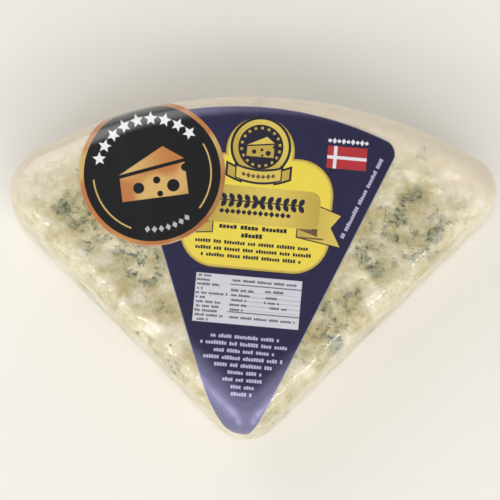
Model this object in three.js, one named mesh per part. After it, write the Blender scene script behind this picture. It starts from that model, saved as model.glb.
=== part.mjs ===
// A quarter-wheel wedge of blue cheese, shrink-wrapped, with a sector label and a round seal stuck on top.
// Millimetres, +Z up. The wedge lies on its broad face and its tip points towards -Y.
import * as THREE from 'three';
import { mergeVertices } from 'three/addons/utils/BufferGeometryUtils.js';

// Driving dimensions of the wedge. Plan sizes are those of the widest level, just above the foot.
const HALF_ANGLE = THREE.MathUtils.degToRad(45.4);
const WEDGE_LENGTH = 96.4; // from the point where the two cut sides would meet to the middle of the rim
const RIM_RADIUS = 120; // the rim is a little flatter than the wheel that the wedge was cut from
const RIM_SHIFT = 1.2; // the rim's centre lies this far to the right of the tip
const TIP_RADIUS = 10.2;
const CORNER_RADII = { right: 10, left: 13 };
const HEIGHT = 33;
const SHOULDER_RADIUS = 6.5; // the rounded edge between the top and the walls
const FOOT_RADIUS = 1.5;
const WALL_LEAN = THREE.MathUtils.degToRad(2); // the walls spread towards the foot

// Dents that mould pockets and crumbled curd leave in the surface under the film.
const DENT_SEED = 7;
const DENT_COUNT = 150;
const DENT_RADIUS = { least: 3.6, most: 7.5 };
const DENT_DEPTH = { least: 0.35, most: 1.3 };
const DENT_FADE = 5; // how far from the label, the seal and the foot the dents reach their full depth
const RIND = { least: 2, most: 12, share: 0.25 }; // the rind at the rim keeps only this share of their depth

// The sector label, in its own flat layout: u across, v along from the point where its sides would meet.
const LABEL_APEX = new THREE.Vector2(-3.7, -7.3); // seen from above, from the point where the cut sides meet
const LABEL_TURN = THREE.MathUtils.degToRad(4.5); // clockwise from the wedge's own axis
const LABEL_HALF_ANGLE = THREE.MathUtils.degToRad(21.9);
const LABEL_END = 7.2; // v of its narrow end, which is folded down over the tip
const LABEL_ARC = { centre: 8.2, radius: 91.1 };
const LABEL_CORNER = 4;

// The round seal, half on the label and half on the film, folded down over the rim's shoulder.
const SEAL_CENTRE = new THREE.Vector2(-25.56, 73.54);
const SEAL_RADIUS = 19.4;
const SEAL_REACH = 6.8; // how much of it goes into the fold: it lies taut there, and tightest at the wall

// Both stickers are thin sheets, held this far off what lies under them.
const SHEET_THICKNESS = 0.3;
const SHEET_GAP = 0.3;

// Steps of the mesh
const TIP_STEPS = 10;
const SIDE_STEPS = 26;
const CORNER_STEPS = 9;
const RIM_STEPS = 44;
const WALL_STEPS = 8;
const SHOULDER_STEPS = 4;
const FOOT_STEPS = 2;
const TOP_STEPS = 13;
const LABEL_ROWS = 28;
const LABEL_COLUMNS = 16;
const SEAL_STEPS = 25;

const rightAngle = Math.PI / 2;

// The plan outline is four arcs, joined by the two straight cut sides and by nothing else.
// Each arc is its centre, its radius and the angles of its outward normals.
function planArcs() {
  const rimCentre = new THREE.Vector2(RIM_SHIFT, WEDGE_LENGTH - RIM_RADIUS);
  const cornerCentre = (hand, radius) => {
    const side = new THREE.Vector2(hand * Math.sin(HALF_ANGLE), Math.cos(HALF_ANGLE));
    const normal = new THREE.Vector2(hand * side.y, -hand * side.x);
    const toRim = normal.clone().multiplyScalar(radius).add(rimCentre);
    const along = side.dot(rimCentre);
    const reach = along + Math.sqrt(along ** 2 - toRim.lengthSq() + (RIM_RADIUS - radius) ** 2);
    return side.multiplyScalar(reach).addScaledVector(normal, -radius);
  };
  const { right, left } = CORNER_RADII;
  const corners = [cornerCentre(1, right), cornerCentre(-1, left)];
  const rimAngles = corners.map((centre) => centre.clone().sub(rimCentre).angle());
  const sideAngles = [-HALF_ANGLE, Math.PI + HALF_ANGLE];
  const tip = new THREE.Vector2(0, TIP_RADIUS / Math.sin(HALF_ANGLE));
  const arc = (centre, radius, from, to, steps) => ({ centre, radius, from, to, steps });
  return [
    arc(corners[0], right, sideAngles[0], rimAngles[0], CORNER_STEPS),
    arc(rimCentre, RIM_RADIUS, rimAngles[0], rimAngles[1], RIM_STEPS),
    arc(corners[1], left, rimAngles[1], sideAngles[1], CORNER_STEPS),
    arc(tip, TIP_RADIUS, sideAngles[1], sideAngles[0] + 2 * Math.PI, TIP_STEPS),
  ];
}

const ARCS = planArcs();
const [RIGHT_CORNER, RIM, LEFT_CORNER, TIP] = ARCS;
const PLAN_CENTRE = new THREE.Vector2(
  (RIGHT_CORNER.centre.x + CORNER_RADII.right + LEFT_CORNER.centre.x - CORNER_RADII.left) / 2,
  (TIP.centre.y - TIP_RADIUS + WEDGE_LENGTH) / 2,
);

const unit = (angle) => new THREE.Vector2(Math.cos(angle), Math.sin(angle));

// Points round the widest level with their outward normals, anticlockwise from the right cut side's end.
function outline() {
  const points = [];
  ARCS.forEach((arc, index) => {
    for (let i = 0; i <= arc.steps; i++) {
      const normal = unit(THREE.MathUtils.lerp(arc.from, arc.to, i / arc.steps));
      points.push({ place: arc.centre.clone().addScaledVector(normal, arc.radius), normal });
    }
    const next = ARCS[(index + 1) % ARCS.length];
    if (arc === RIM || next === RIM) {
      points.pop(); // the rim starts and ends where a corner does
      return;
    }
    const start = points.at(-1);
    const end = next.centre.clone().addScaledVector(unit(next.from), next.radius);
    for (let i = 1; i < SIDE_STEPS; i++) {
      points.push({ place: start.place.clone().lerp(end, i / SIDE_STEPS), normal: start.normal });
    }
  });
  return points;
}

const SHOULDER_TURN = rightAngle - WALL_LEAN;
const SHOULDER_ARC = SHOULDER_RADIUS * SHOULDER_TURN;
const SHOULDER_END_Z = HEIGHT - SHOULDER_RADIUS * (1 - Math.sin(WALL_LEAN));
const TOP_INSET =
  SHOULDER_RADIUS * Math.cos(WALL_LEAN) + (SHOULDER_END_Z - FOOT_RADIUS) * Math.tan(WALL_LEAN);

// The wall's section from the foot to the edge of the flat top: inset from the outline, height and normal.
function wallSection() {
  const section = [];
  for (let i = 0; i < FOOT_STEPS; i++) {
    const turn = (rightAngle * i) / FOOT_STEPS;
    section.push({
      inset: FOOT_RADIUS * (1 - Math.sin(turn)),
      z: FOOT_RADIUS * (1 - Math.cos(turn)),
      tilt: -rightAngle + turn,
    });
  }
  for (let i = 0; i < WALL_STEPS; i++) {
    const z = THREE.MathUtils.lerp(FOOT_RADIUS, SHOULDER_END_Z, i / WALL_STEPS);
    section.push({ inset: (z - FOOT_RADIUS) * Math.tan(WALL_LEAN), z, tilt: WALL_LEAN });
  }
  for (let i = 0; i <= SHOULDER_STEPS; i++) {
    const turn = SHOULDER_TURN * (1 - i / SHOULDER_STEPS);
    section.push({
      inset: TOP_INSET - SHOULDER_RADIUS * Math.sin(turn),
      z: HEIGHT - SHOULDER_RADIUS * (1 - Math.cos(turn)),
      tilt: rightAngle - turn,
    });
  }
  return section;
}

// How far a plan point lies outside the outline inset by an amount, with the normal there.
// The outline is convex, so the distance is the largest of those to its arcs' nearest tangents.
function outside(point, inset) {
  let best = { distance: -Infinity, normal: null };
  for (const arc of ARCS) {
    const offset = point.clone().sub(arc.centre);
    const middle = (arc.from + arc.to) / 2;
    let angle = offset.angle() - middle;
    angle -= 2 * Math.PI * Math.round(angle / (2 * Math.PI));
    const half = (arc.to - arc.from) / 2;
    const normal = unit(middle + THREE.MathUtils.clamp(angle, -half, half));
    const distance = offset.dot(normal) - (arc.radius - inset);
    if (distance > best.distance) best = { distance, normal };
  }
  return best;
}

// Lays a point of a flat sheet on the wedge: flat on top, bent over the shoulder and down the wall.
// The sheet's next length, its reach, goes into the bend. A sheet that lies taut there has a short one.
function wrap(point, lift, reach) {
  const { distance, normal } = outside(point, TOP_INSET);
  if (distance <= 0) return new THREE.Vector3(point.x, point.y, HEIGHT + lift);
  const share = Math.min(distance / reach, 1);
  const evenly = reach / SHOULDER_ARC;
  const turn = SHOULDER_TURN * (evenly * share + (1 - evenly) * share ** 3);
  const down = Math.max(distance - reach, 0);
  const radius = SHOULDER_RADIUS + lift;
  const out = radius * Math.sin(turn) + down * Math.sin(WALL_LEAN) - distance;
  const z = HEIGHT - SHOULDER_RADIUS + radius * Math.cos(turn) - down * Math.cos(WALL_LEAN);
  return new THREE.Vector3(point.x + normal.x * out, point.y + normal.y * out, z);
}

const ALONG_LABEL = unit(rightAngle - LABEL_TURN);
const ACROSS_LABEL = new THREE.Vector2(ALONG_LABEL.y, -ALONG_LABEL.x);

const labelPlace = (u, v) =>
  LABEL_APEX.clone().addScaledVector(ACROSS_LABEL, u).addScaledVector(ALONG_LABEL, v);

// How far along a ray from the label's apex a circle's far side lies, or nothing where the ray misses it.
function farSide(angle, centre, radius) {
  const direction = new THREE.Vector2(Math.sin(angle), Math.cos(angle));
  const along = direction.dot(centre);
  const rest = along ** 2 - centre.lengthSq() + radius ** 2;
  return rest < 0 ? undefined : along + Math.sqrt(rest);
}

// The label's reach along a ray from its apex, with its two outer corners rounded.
function labelReach(angle) {
  const arcCentre = new THREE.Vector2(0, LABEL_ARC.centre);
  const side = new THREE.Vector2(Math.sin(LABEL_HALF_ANGLE), Math.cos(LABEL_HALF_ANGLE));
  const inward = new THREE.Vector2(-side.y, side.x).multiplyScalar(LABEL_CORNER);
  const toArc = arcCentre.clone().sub(inward);
  const along = side.dot(toArc);
  const inner = LABEL_ARC.radius - LABEL_CORNER;
  const corner = side.clone().multiplyScalar(along + Math.sqrt(along ** 2 - toArc.lengthSq() + inner ** 2));
  corner.add(inward);
  const turned = Math.abs(angle);
  const touch = corner.clone().sub(arcCentre);
  const arcTouch = arcCentre.clone().addScaledVector(touch, LABEL_ARC.radius / inner);
  const cornerStart = Math.atan2(arcTouch.x, arcTouch.y);
  if (turned > cornerStart) return farSide(turned, corner, LABEL_CORNER) ?? corner.dot(side);
  return farSide(turned, arcCentre, LABEL_ARC.radius);
}

// Rows of plan points over the label, closer at its ends, where it bends, and at its rounded corners.
function labelRows() {
  const rows = [];
  for (let row = 0; row <= LABEL_ROWS; row++) {
    const points = [];
    const share = (1 - Math.cos((Math.PI * row) / LABEL_ROWS)) / 2;
    for (let column = 0; column <= LABEL_COLUMNS; column++) {
      const angle = LABEL_HALF_ANGLE * Math.sin(rightAngle * ((2 * column) / LABEL_COLUMNS - 1));
      const start = LABEL_END / Math.cos(angle);
      const along = THREE.MathUtils.lerp(start, labelReach(angle), share);
      points.push(labelPlace(along * Math.sin(angle), along * Math.cos(angle)));
    }
    rows.push(points);
  }
  return rows;
}

// Rows of plan points over the seal: a square grid drawn out to a disc.
function sealRows() {
  const rows = [];
  for (let row = 0; row <= SEAL_STEPS; row++) {
    const points = [];
    for (let column = 0; column <= SEAL_STEPS; column++) {
      const x = (2 * column) / SEAL_STEPS - 1;
      const y = (2 * row) / SEAL_STEPS - 1;
      const disc = new THREE.Vector2(x * Math.sqrt(1 - (y * y) / 2), y * Math.sqrt(1 - (x * x) / 2));
      points.push(disc.multiplyScalar(SEAL_RADIUS).add(SEAL_CENTRE));
    }
    rows.push(points);
  }
  return rows;
}

// A closed solid from the points of its surface and its triangles, moved to the part's own origin.
function solid(points, triangles) {
  const geometry = new THREE.BufferGeometry();
  const centred = points.flatMap(({ x, y, z }) => [x - PLAN_CENTRE.x, y - PLAN_CENTRE.y, z]);
  geometry.setAttribute('position', new THREE.Float32BufferAttribute(centred, 3));
  geometry.setIndex(triangles);
  const merged = mergeVertices(geometry);
  merged.computeVertexNormals();
  return merged;
}

// A thin sheet over the wedge, from rows of plan points that run left to right and from the tip to the rim.
function sheet(rows, lift, reach) {
  const width = rows[0].length;
  const count = rows.length * width;
  const layers = [lift + SHEET_THICKNESS, lift];
  const points = layers.flatMap((height) => rows.flat().map((point) => wrap(point, height, reach)));
  const triangles = [];
  for (let row = 0; row < rows.length - 1; row++) {
    for (let column = 0; column < width - 1; column++) {
      const a = row * width + column;
      const [b, c, d] = [a + 1, a + width + 1, a + width];
      triangles.push(a, b, c, a, c, d);
      triangles.push(count + a, count + c, count + b, count + a, count + d, count + c);
    }
  }
  const last = count - width;
  const border = [];
  for (let column = 0; column < width - 1; column++) border.push(column);
  for (let row = 0; row < rows.length - 1; row++) border.push(row * width + width - 1);
  for (let column = width - 1; column > 0; column--) border.push(last + column);
  for (let row = rows.length - 1; row > 0; row--) border.push(row * width);
  border.forEach((a, index) => {
    const b = border[(index + 1) % border.length];
    triangles.push(a, count + a, b, b, count + a, count + b);
  });
  return solid(points, triangles);
}

// Draws from 0 to 1 that are the same on every run.
function* draws(seed) {
  let state = seed;
  for (;;) {
    state = (state * 16807) % 2147483647;
    yield state / 2147483647;
  }
}

// How far a plan point lies outside the label, roughly, from its two straight sides and its arc.
function outsideLabel(point) {
  const offset = point.clone().sub(LABEL_APEX);
  const u = offset.dot(ACROSS_LABEL);
  const v = offset.dot(ALONG_LABEL);
  const fromSide = Math.abs(u) * Math.cos(LABEL_HALF_ANGLE) - v * Math.sin(LABEL_HALF_ANGLE);
  const fromArc = Math.hypot(u, v - LABEL_ARC.centre) - LABEL_ARC.radius;
  return Math.max(fromSide, fromArc);
}

// How much of the dents' depth shows at a plan point and height: none under a sticker or at the foot.
function dentShare(point, z) {
  const fromLabel = outsideLabel(point);
  const fromSeal = point.distanceTo(SEAL_CENTRE) - SEAL_RADIUS;
  const clear = Math.min(fromLabel, fromSeal, z - FOOT_RADIUS);
  const fromRim = RIM_RADIUS - point.distanceTo(RIM.centre);
  const offRind = THREE.MathUtils.smoothstep(fromRim, RIND.least, RIND.most);
  return THREE.MathUtils.lerp(RIND.share, 1, offRind) * THREE.MathUtils.smoothstep(clear, 0, DENT_FADE);
}

// Dents spread over the walls and the top, each a place, a radius and a depth.
function dents(rings) {
  const draw = draws(DENT_SEED);
  const next = () => draw.next().value;
  const places = rings.flat();
  const between = (range, share) => THREE.MathUtils.lerp(range.least, range.most, share);
  return Array.from({ length: DENT_COUNT }, () => ({
    place: places[Math.floor(next() * places.length)].place,
    radius: between(DENT_RADIUS, next()),
    depth: between(DENT_DEPTH, next() ** 2),
  }));
}

// Pushes a surface point in where dents reach it. Where several do, the deepest counts.
function dented(place, normal, allDents) {
  let depth = 0;
  for (const dent of allDents) {
    const share = place.distanceTo(dent.place) / dent.radius;
    if (share < 1) depth = Math.max(depth, dent.depth * (1 - share ** 2) ** 2);
  }
  depth *= dentShare(new THREE.Vector2(place.x, place.y), place.z);
  return place.clone().addScaledVector(normal, -depth);
}

// The cheese in its film: rings up the wall and in over the top, closed by a fan above and below.
function wedge() {
  const edge = outline();
  const middle = PLAN_CENTRE.clone().setY(PLAN_CENTRE.y + TIP_RADIUS);
  const rings = wallSection().map(({ inset, z, tilt }) =>
    edge.map(({ place, normal }) => {
      const spot = place.clone().addScaledVector(normal, -inset);
      const flat = normal.clone().multiplyScalar(Math.cos(tilt));
      return {
        place: new THREE.Vector3(spot.x, spot.y, z),
        normal: new THREE.Vector3(flat.x, flat.y, Math.sin(tilt)),
      };
    }),
  );
  const topEdge = rings.at(-1);
  const up = new THREE.Vector3(0, 0, 1);
  for (let i = 1; i < TOP_STEPS; i++) {
    const centre = new THREE.Vector3(middle.x, middle.y, HEIGHT);
    const share = 1 - (1 - i / TOP_STEPS) ** 1.1;
    rings.push(topEdge.map(({ place }) => ({ place: place.clone().lerp(centre, share), normal: up })));
  }
  const allDents = dents(rings);
  const points = rings.flat().map(({ place, normal }) => dented(place, normal, allDents));
  const count = edge.length;
  const triangles = [];
  for (let ring = 0; ring < rings.length - 1; ring++) {
    for (let i = 0; i < count; i++) {
      const next = (i + 1) % count;
      const [a, b] = [ring * count + i, ring * count + next];
      triangles.push(a, b, b + count, a, b + count, a + count);
    }
  }
  const [top, bottom] = [points.length, points.length + 1];
  points.push(new THREE.Vector3(middle.x, middle.y, HEIGHT), new THREE.Vector3(middle.x, middle.y, 0));
  const last = (rings.length - 1) * count;
  for (let i = 0; i < count; i++) {
    const next = (i + 1) % count;
    triangles.push(last + i, last + next, top, next, i, bottom);
  }
  return solid(points, triangles);
}

const FINISHES = {
  cheese: new THREE.MeshStandardMaterial({ color: 0xd8ccab, roughness: 0.25, metalness: 0 }),
  label: new THREE.MeshStandardMaterial({ color: 0x302d4a, roughness: 0.3, metalness: 0 }),
  seal: new THREE.MeshStandardMaterial({ color: 0x2a211d, roughness: 0.25, metalness: 0.1 }),
};

function named(name, geometry, material) {
  const mesh = new THREE.Mesh(geometry, material);
  mesh.name = name;
  return mesh;
}

const part = new THREE.Group();
part.add(
  named('cheese', wedge(), FINISHES.cheese),
  named('label', sheet(labelRows(), SHEET_GAP, SHOULDER_ARC), FINISHES.label),
  named('seal', sheet(sealRows(), 2 * SHEET_GAP + SHEET_THICKNESS, SEAL_REACH), FINISHES.seal),
);

export default part;
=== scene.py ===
"""A shrink-wrapped wedge of blue cheese: veined curd, clear film, sector label and round seal."""

import logging
import math
from dataclasses import dataclass, field
from enum import Enum
from typing import Callable, Iterator, Mapping, Optional, Sequence, Tuple, Union

import bpy
import numpy as np
from mathutils import Matrix, Vector


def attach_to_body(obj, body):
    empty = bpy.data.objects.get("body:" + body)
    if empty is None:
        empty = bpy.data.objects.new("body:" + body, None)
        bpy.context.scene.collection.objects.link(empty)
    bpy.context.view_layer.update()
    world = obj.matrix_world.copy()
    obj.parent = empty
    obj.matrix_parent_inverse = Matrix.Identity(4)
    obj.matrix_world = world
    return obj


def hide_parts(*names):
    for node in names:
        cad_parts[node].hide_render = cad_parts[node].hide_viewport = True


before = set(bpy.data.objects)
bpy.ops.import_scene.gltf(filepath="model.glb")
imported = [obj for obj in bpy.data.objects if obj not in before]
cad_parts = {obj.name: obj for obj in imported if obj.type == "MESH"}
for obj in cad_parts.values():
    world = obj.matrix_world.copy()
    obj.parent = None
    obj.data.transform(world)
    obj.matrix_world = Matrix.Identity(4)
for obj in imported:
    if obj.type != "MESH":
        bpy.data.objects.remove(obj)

LOG = logging.getLogger("cheese_wedge")
MM = 0.001
RIGHT_ANGLE = math.pi / 2

Colour = Tuple[float, float, float, float]
Point = Tuple[float, float]
Noise = Tuple[float, float, float]  # size of the lumps, detail and roughness
Number = Union[int, float]


BYTE = 255
SRGB_TOE = 0.04045
SRGB_SLOPE = 12.92
SRGB_OFFSET = 0.055
SRGB_POWER = 2.4


def srgb(red: int, green: int, blue: int) -> Colour:
    """Turns a screen colour from 0 to 255 into the linear colour that shaders take."""
    linear = []
    for part in (red / BYTE, green / BYTE, blue / BYTE):
        bent = ((part + SRGB_OFFSET) / (1 + SRGB_OFFSET)) ** SRGB_POWER
        linear.append(part / SRGB_SLOPE if part <= SRGB_TOE else bent)
    return (linear[0], linear[1], linear[2], 1.0)


def smoothstep(values: np.ndarray, low: float, high: float) -> np.ndarray:
    """Ramps smoothly from 0 at low to 1 at high."""
    share = np.clip((values - low) / (high - low), 0.0, 1.0)
    return share * share * (3 - 2 * share)


# Node trees


class Value:
    """One output socket of a node tree. Python's operators on it add Math nodes."""

    def __init__(self, bench: "Bench", socket: bpy.types.NodeSocket) -> None:
        """Keeps the socket and the bench that can add nodes after it."""
        self.bench = bench
        self.socket = socket

    def __add__(self, other: "Operand") -> "Value":
        """Adds two values."""
        return self.bench.math("ADD", self, other)

    __radd__ = __add__

    def __sub__(self, other: "Operand") -> "Value":
        """Takes the other value away."""
        return self.bench.math("SUBTRACT", self, other)

    def __rsub__(self, other: "Operand") -> "Value":
        """Takes this value away from the other one."""
        return self.bench.math("SUBTRACT", other, self)

    def __mul__(self, other: "Operand") -> "Value":
        """Multiplies two values."""
        return self.bench.math("MULTIPLY", self, other)

    __rmul__ = __mul__

    def __truediv__(self, other: "Operand") -> "Value":
        """Divides by the other value."""
        return self.bench.math("DIVIDE", self, other)

    def __pow__(self, other: "Operand") -> "Value":
        """Raises this value to a power."""
        return self.bench.math("POWER", self, other)

    def __abs__(self) -> "Value":
        """Drops the sign."""
        return self.bench.math("ABSOLUTE", self)

    def __or__(self, other: "Operand") -> "Value":
        """Takes the larger of two values, which joins two masks."""
        return self.bench.math("MAXIMUM", self, other)

    def __and__(self, other: "Operand") -> "Value":
        """Takes the smaller of two values, which crosses two masks."""
        return self.bench.math("MINIMUM", self, other)

    def floor(self) -> "Value":
        """Rounds down."""
        return self.bench.math("FLOOR", self)

    def clamped(self) -> "Value":
        """Holds the value between 0 and 1."""
        return self.bench.math("ADD", self, 0.0, clamp=True)


Operand = Union[Value, Number]


class Bench:
    """Adds nodes to one tree, of a material, a world or Geometry Nodes."""

    MIX_SOCKETS = (0, 6, 7)
    MIX_RESULT = 2

    def __init__(self, tree: bpy.types.NodeTree) -> None:
        """Keeps the tree."""
        self.tree = tree

    def node(
        self,
        kind: str,
        settings: Optional[Mapping[str, object]] = None,
        sockets: Optional[Mapping[Union[str, int], object]] = None,
    ) -> bpy.types.Node:
        """Adds a node.

        Args:
            kind: the node's type.
            settings: its properties, set before its sockets.
            sockets: numbers, colours or links for its inputs, by name or place.

        Returns:
            The node.
        """
        node = self.tree.nodes.new(kind)
        for name, setting in (settings or {}).items():
            setattr(node, name, setting)
        for key, value in (sockets or {}).items():
            if isinstance(value, Value):
                self.tree.links.new(value.socket, node.inputs[key])
            elif isinstance(value, bpy.types.NodeSocket):
                self.tree.links.new(value, node.inputs[key])
            else:
                node.inputs[key].default_value = value
        return node

    def value(
        self,
        kind: str,
        settings: Optional[Mapping[str, object]] = None,
        sockets: Optional[Mapping[Union[str, int], object]] = None,
        output: Union[str, int] = 0,
    ) -> Value:
        """Adds a node, as node() does, and gives one of its outputs."""
        return Value(self, self.node(kind, settings, sockets).outputs[output])

    def math(self, operation: str, *values: Operand, clamp: bool = False) -> Value:
        """Adds a Math node on one to three values."""
        settings = {"operation": operation, "use_clamp": clamp}
        return self.value("ShaderNodeMath", settings, dict(enumerate(values)))

    def vector(self, operation: str, *values: object) -> Value:
        """Adds a Vector Math node that gives a vector."""
        return self.value("ShaderNodeVectorMath", {"operation": operation}, dict(enumerate(values)))

    def scaled(self, vector: Value, factors: Sequence[float]) -> Value:
        """Stretches a vector along each axis."""
        return self.vector("MULTIPLY", vector, tuple(factors))

    def parts(self, vector: Value) -> Tuple[Value, Value, Value]:
        """Splits a vector into its three numbers."""
        outputs = self.node("ShaderNodeSeparateXYZ", None, {0: vector}).outputs
        return Value(self, outputs[0]), Value(self, outputs[1]), Value(self, outputs[2])

    def joined(self, x: Operand, y: Operand, z: Operand = 0.0) -> Value:
        """Makes a vector of three numbers."""
        return self.value("ShaderNodeCombineXYZ", None, {0: x, 1: y, 2: z})

    def noise(self, place: Value, size: float, detail: float = 2.0, roughness: float = 0.5) -> Value:
        """Smooth noise from 0 to 1 whose lumps are about size units across."""
        sockets = {"Vector": place, "Scale": 1.0 / size, "Detail": detail, "Roughness": roughness}
        return self.value("ShaderNodeTexNoise", None, sockets)

    def ramp(self, value: Value, low: float, high: float) -> Value:
        """Rises smoothly from 0 where value is low to 1 where it is high."""
        settings = {"interpolation_type": "SMOOTHSTEP"}
        return self.value("ShaderNodeMapRange", settings, {0: value, 1: low, 2: high, 3: 0.0, 4: 1.0})

    def mixed(self, share: Operand, low: object, high: object) -> Value:
        """Blends two colours."""
        sockets = dict(zip(self.MIX_SOCKETS, (share, low, high)))
        return self.value("ShaderNodeMix", {"data_type": "RGBA"}, sockets, self.MIX_RESULT)

    def bumped(self, height: Value, distance: float, strength: float = 1.0) -> Value:
        """A normal bent by a height field whose unit is distance metres."""
        sockets = {"Height": height, "Distance": distance, "Strength": strength}
        return self.value("ShaderNodeBump", None, sockets)


class Surface(Bench):
    """A material's node tree with one Principled shader."""

    def __init__(self, name: str, **constants: object) -> None:
        """Makes the material.

        Args:
            name: the material's name.
            **constants: the shader's fixed inputs, with underscores for spaces.
        """
        self.material = bpy.data.materials.new(name)
        self.material.use_nodes = True
        super().__init__(self.material.node_tree)
        self.tree.nodes.clear()
        fixed = {key.replace("_", " "): value for key, value in constants.items()}
        self.shader = self.node("ShaderNodeBsdfPrincipled", None, fixed)
        self.output = self.node("ShaderNodeOutputMaterial", None, {"Surface": self.shader.outputs[0]})

    def drive(self, socket: str, value: Value) -> None:
        """Links a varying value to one of the shader's inputs."""
        self.tree.links.new(value.socket, self.shader.inputs[socket])

    def place_mm(self) -> Value:
        """The point on the piece, in millimetres of the row frame."""
        return self.scaled(self.value("ShaderNodeTexCoord", output="Object"), (1 / MM,) * 3)

    def flat_mm(self, layout: "FlatLayout") -> Tuple[Value, Value]:
        """The point on a sheet's own flat layout, in millimetres, from its UV map."""
        across, along, _ = self.parts(self.value("ShaderNodeUVMap", {"uv_map": layout.uv_name}))
        return (across - layout.start[0]) * layout.span, (along - layout.start[1]) * layout.span


# The wedge's form, by the same rules and sizes as the solid model


@dataclass(frozen=True)
class Arc:
    """One arc of the plan outline, by the angles of its outward normals."""

    centre: Point
    radius: float
    start: float
    end: float
    steps: int


@dataclass
class WedgeForm:
    """The wedge's outline and section in millimetres, with the tip towards -Y."""

    half_angle: float = math.radians(45.4)
    length: float = 96.4
    rim_radius: float = 120.0
    rim_shift: float = 1.2
    tip_radius: float = 10.2
    right_corner: float = 10.0
    left_corner: float = 13.0
    height: float = 33.0
    shoulder: float = 6.5
    foot: float = 1.5
    lean: float = math.radians(2)
    side_steps: int = 26
    wall_steps: int = 8
    shoulder_steps: int = 4
    foot_steps: int = 2
    top_steps: int = 13
    top_power: float = 1.1
    arcs: Sequence[Arc] = field(init=False)

    def __post_init__(self) -> None:
        """Works out the four arcs that the two cut sides join."""
        rim_centre = (self.rim_shift, self.length - self.rim_radius)
        right = self._corner_centre(1, self.right_corner, rim_centre)
        left = self._corner_centre(-1, self.left_corner, rim_centre)
        rim_angles = [math.atan2(c[1] - rim_centre[1], c[0] - rim_centre[0]) for c in (right, left)]
        side_angles = (-self.half_angle, math.pi + self.half_angle)
        tip = (0.0, self.tip_radius / math.sin(self.half_angle))
        self.arcs = (
            Arc(right, self.right_corner, side_angles[0], rim_angles[0], 9),
            Arc(rim_centre, self.rim_radius, rim_angles[0], rim_angles[1], 44),
            Arc(left, self.left_corner, rim_angles[1], side_angles[1], 9),
            Arc(tip, self.tip_radius, side_angles[1], side_angles[0] + 2 * math.pi, 10),
        )

    def _corner_centre(self, hand: int, radius: float, rim_centre: Point) -> Point:
        """Centre of the corner that touches one cut side and the rim."""
        side = np.array([hand * math.sin(self.half_angle), math.cos(self.half_angle)])
        normal = hand * np.array([side[1], -side[0]])
        to_rim = radius * normal + np.array(rim_centre)
        along = float(side @ np.array(rim_centre))
        reach = along + math.sqrt(along**2 - float(to_rim @ to_rim) + (self.rim_radius - radius) ** 2)
        centre = reach * side - radius * normal
        return (float(centre[0]), float(centre[1]))

    @property
    def centre(self) -> np.ndarray:
        """Middle of the outline's box, which is the row frame's origin."""
        right, _, left, tip = self.arcs
        x = (right.centre[0] + right.radius + left.centre[0] - left.radius) / 2
        return np.array([x, (tip.centre[1] - tip.radius + self.length) / 2])

    @property
    def shoulder_turn(self) -> float:
        """How far the shoulder turns from the flat top to the leaning wall."""
        return RIGHT_ANGLE - self.lean

    @property
    def shoulder_end(self) -> float:
        """Height where the shoulder meets the wall."""
        return self.height - self.shoulder * (1 - math.sin(self.lean))

    @property
    def top_inset(self) -> float:
        """How far the flat top's edge lies inside the outline."""
        return self.shoulder * math.cos(self.lean) + (self.shoulder_end - self.foot) * math.tan(self.lean)

    def outline(self, fineness: int = 1) -> Tuple[np.ndarray, np.ndarray]:
        """Points round the widest level and their outward normals, anticlockwise."""
        places, normals = [], []
        for index, arc in enumerate(self.arcs):
            after = self.arcs[(index + 1) % len(self.arcs)]
            angles = np.linspace(arc.start, arc.end, arc.steps * fineness + 1)
            turned = np.stack([np.cos(angles), np.sin(angles)], axis=1)
            points = np.array(arc.centre) + arc.radius * turned
            meets_rim = arc is self.arcs[1] or after is self.arcs[1]
            if meets_rim:
                turned, points = turned[:-1], points[:-1]
            places.append(points)
            normals.append(turned)
            if not meets_rim:
                first = np.array([math.cos(after.start), math.sin(after.start)])
                end = np.array(after.centre) + after.radius * first
                steps = self.side_steps * fineness
                shares = (np.arange(1, steps) / steps)[:, None]
                places.append(points[-1] + (end - points[-1]) * shares)
                normals.append(np.repeat(turned[-1:], steps - 1, axis=0))
        return np.concatenate(places), np.concatenate(normals)

    def section(self, fineness: int = 1) -> np.ndarray:
        """Rows of inset, height and tilt of the normal, from the foot to the flat top's edge."""
        rows = []
        foot_steps, wall_steps = self.foot_steps * fineness, self.wall_steps * fineness
        shoulder_steps = self.shoulder_steps * fineness
        for turn in RIGHT_ANGLE * np.arange(foot_steps) / foot_steps:
            inset, z = self.foot * (1 - math.sin(turn)), self.foot * (1 - math.cos(turn))
            rows.append((inset, z, turn - RIGHT_ANGLE))
        for share in np.arange(wall_steps) / wall_steps:
            z = self.foot + (self.shoulder_end - self.foot) * share
            rows.append(((z - self.foot) * math.tan(self.lean), z, self.lean))
        for turn in self.shoulder_turn * (1 - np.arange(shoulder_steps + 1) / shoulder_steps):
            inset = self.top_inset - self.shoulder * math.sin(turn)
            rows.append((inset, self.height - self.shoulder * (1 - math.cos(turn)), RIGHT_ANGLE - turn))
        return np.array(rows)

    def rings(self, fineness: int = 1, top_fineness: int = 1) -> Tuple[np.ndarray, np.ndarray]:
        """Points and normals of the skin, as rings from the foot over the shoulder to the top's middle."""
        edge, outward = self.outline(fineness)
        places, normals = [], []
        for inset, z, tilt in self.section(fineness):
            flat = edge - outward * inset
            places.append(np.column_stack([flat, np.full(len(flat), z)]))
            normals.append(np.column_stack([outward * math.cos(tilt), np.full(len(flat), math.sin(tilt))]))
        middle = self.middle(self.height)
        steps = self.top_steps * top_fineness
        rim = places[-1]
        for i in range(1, steps):
            share = 1 - (1 - i / steps) ** self.top_power
            places.append(rim + (middle - rim) * share)
            normals.append(np.tile([0.0, 0.0, 1.0], (len(rim), 1)))
        return np.array(places), np.array(normals)

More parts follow.
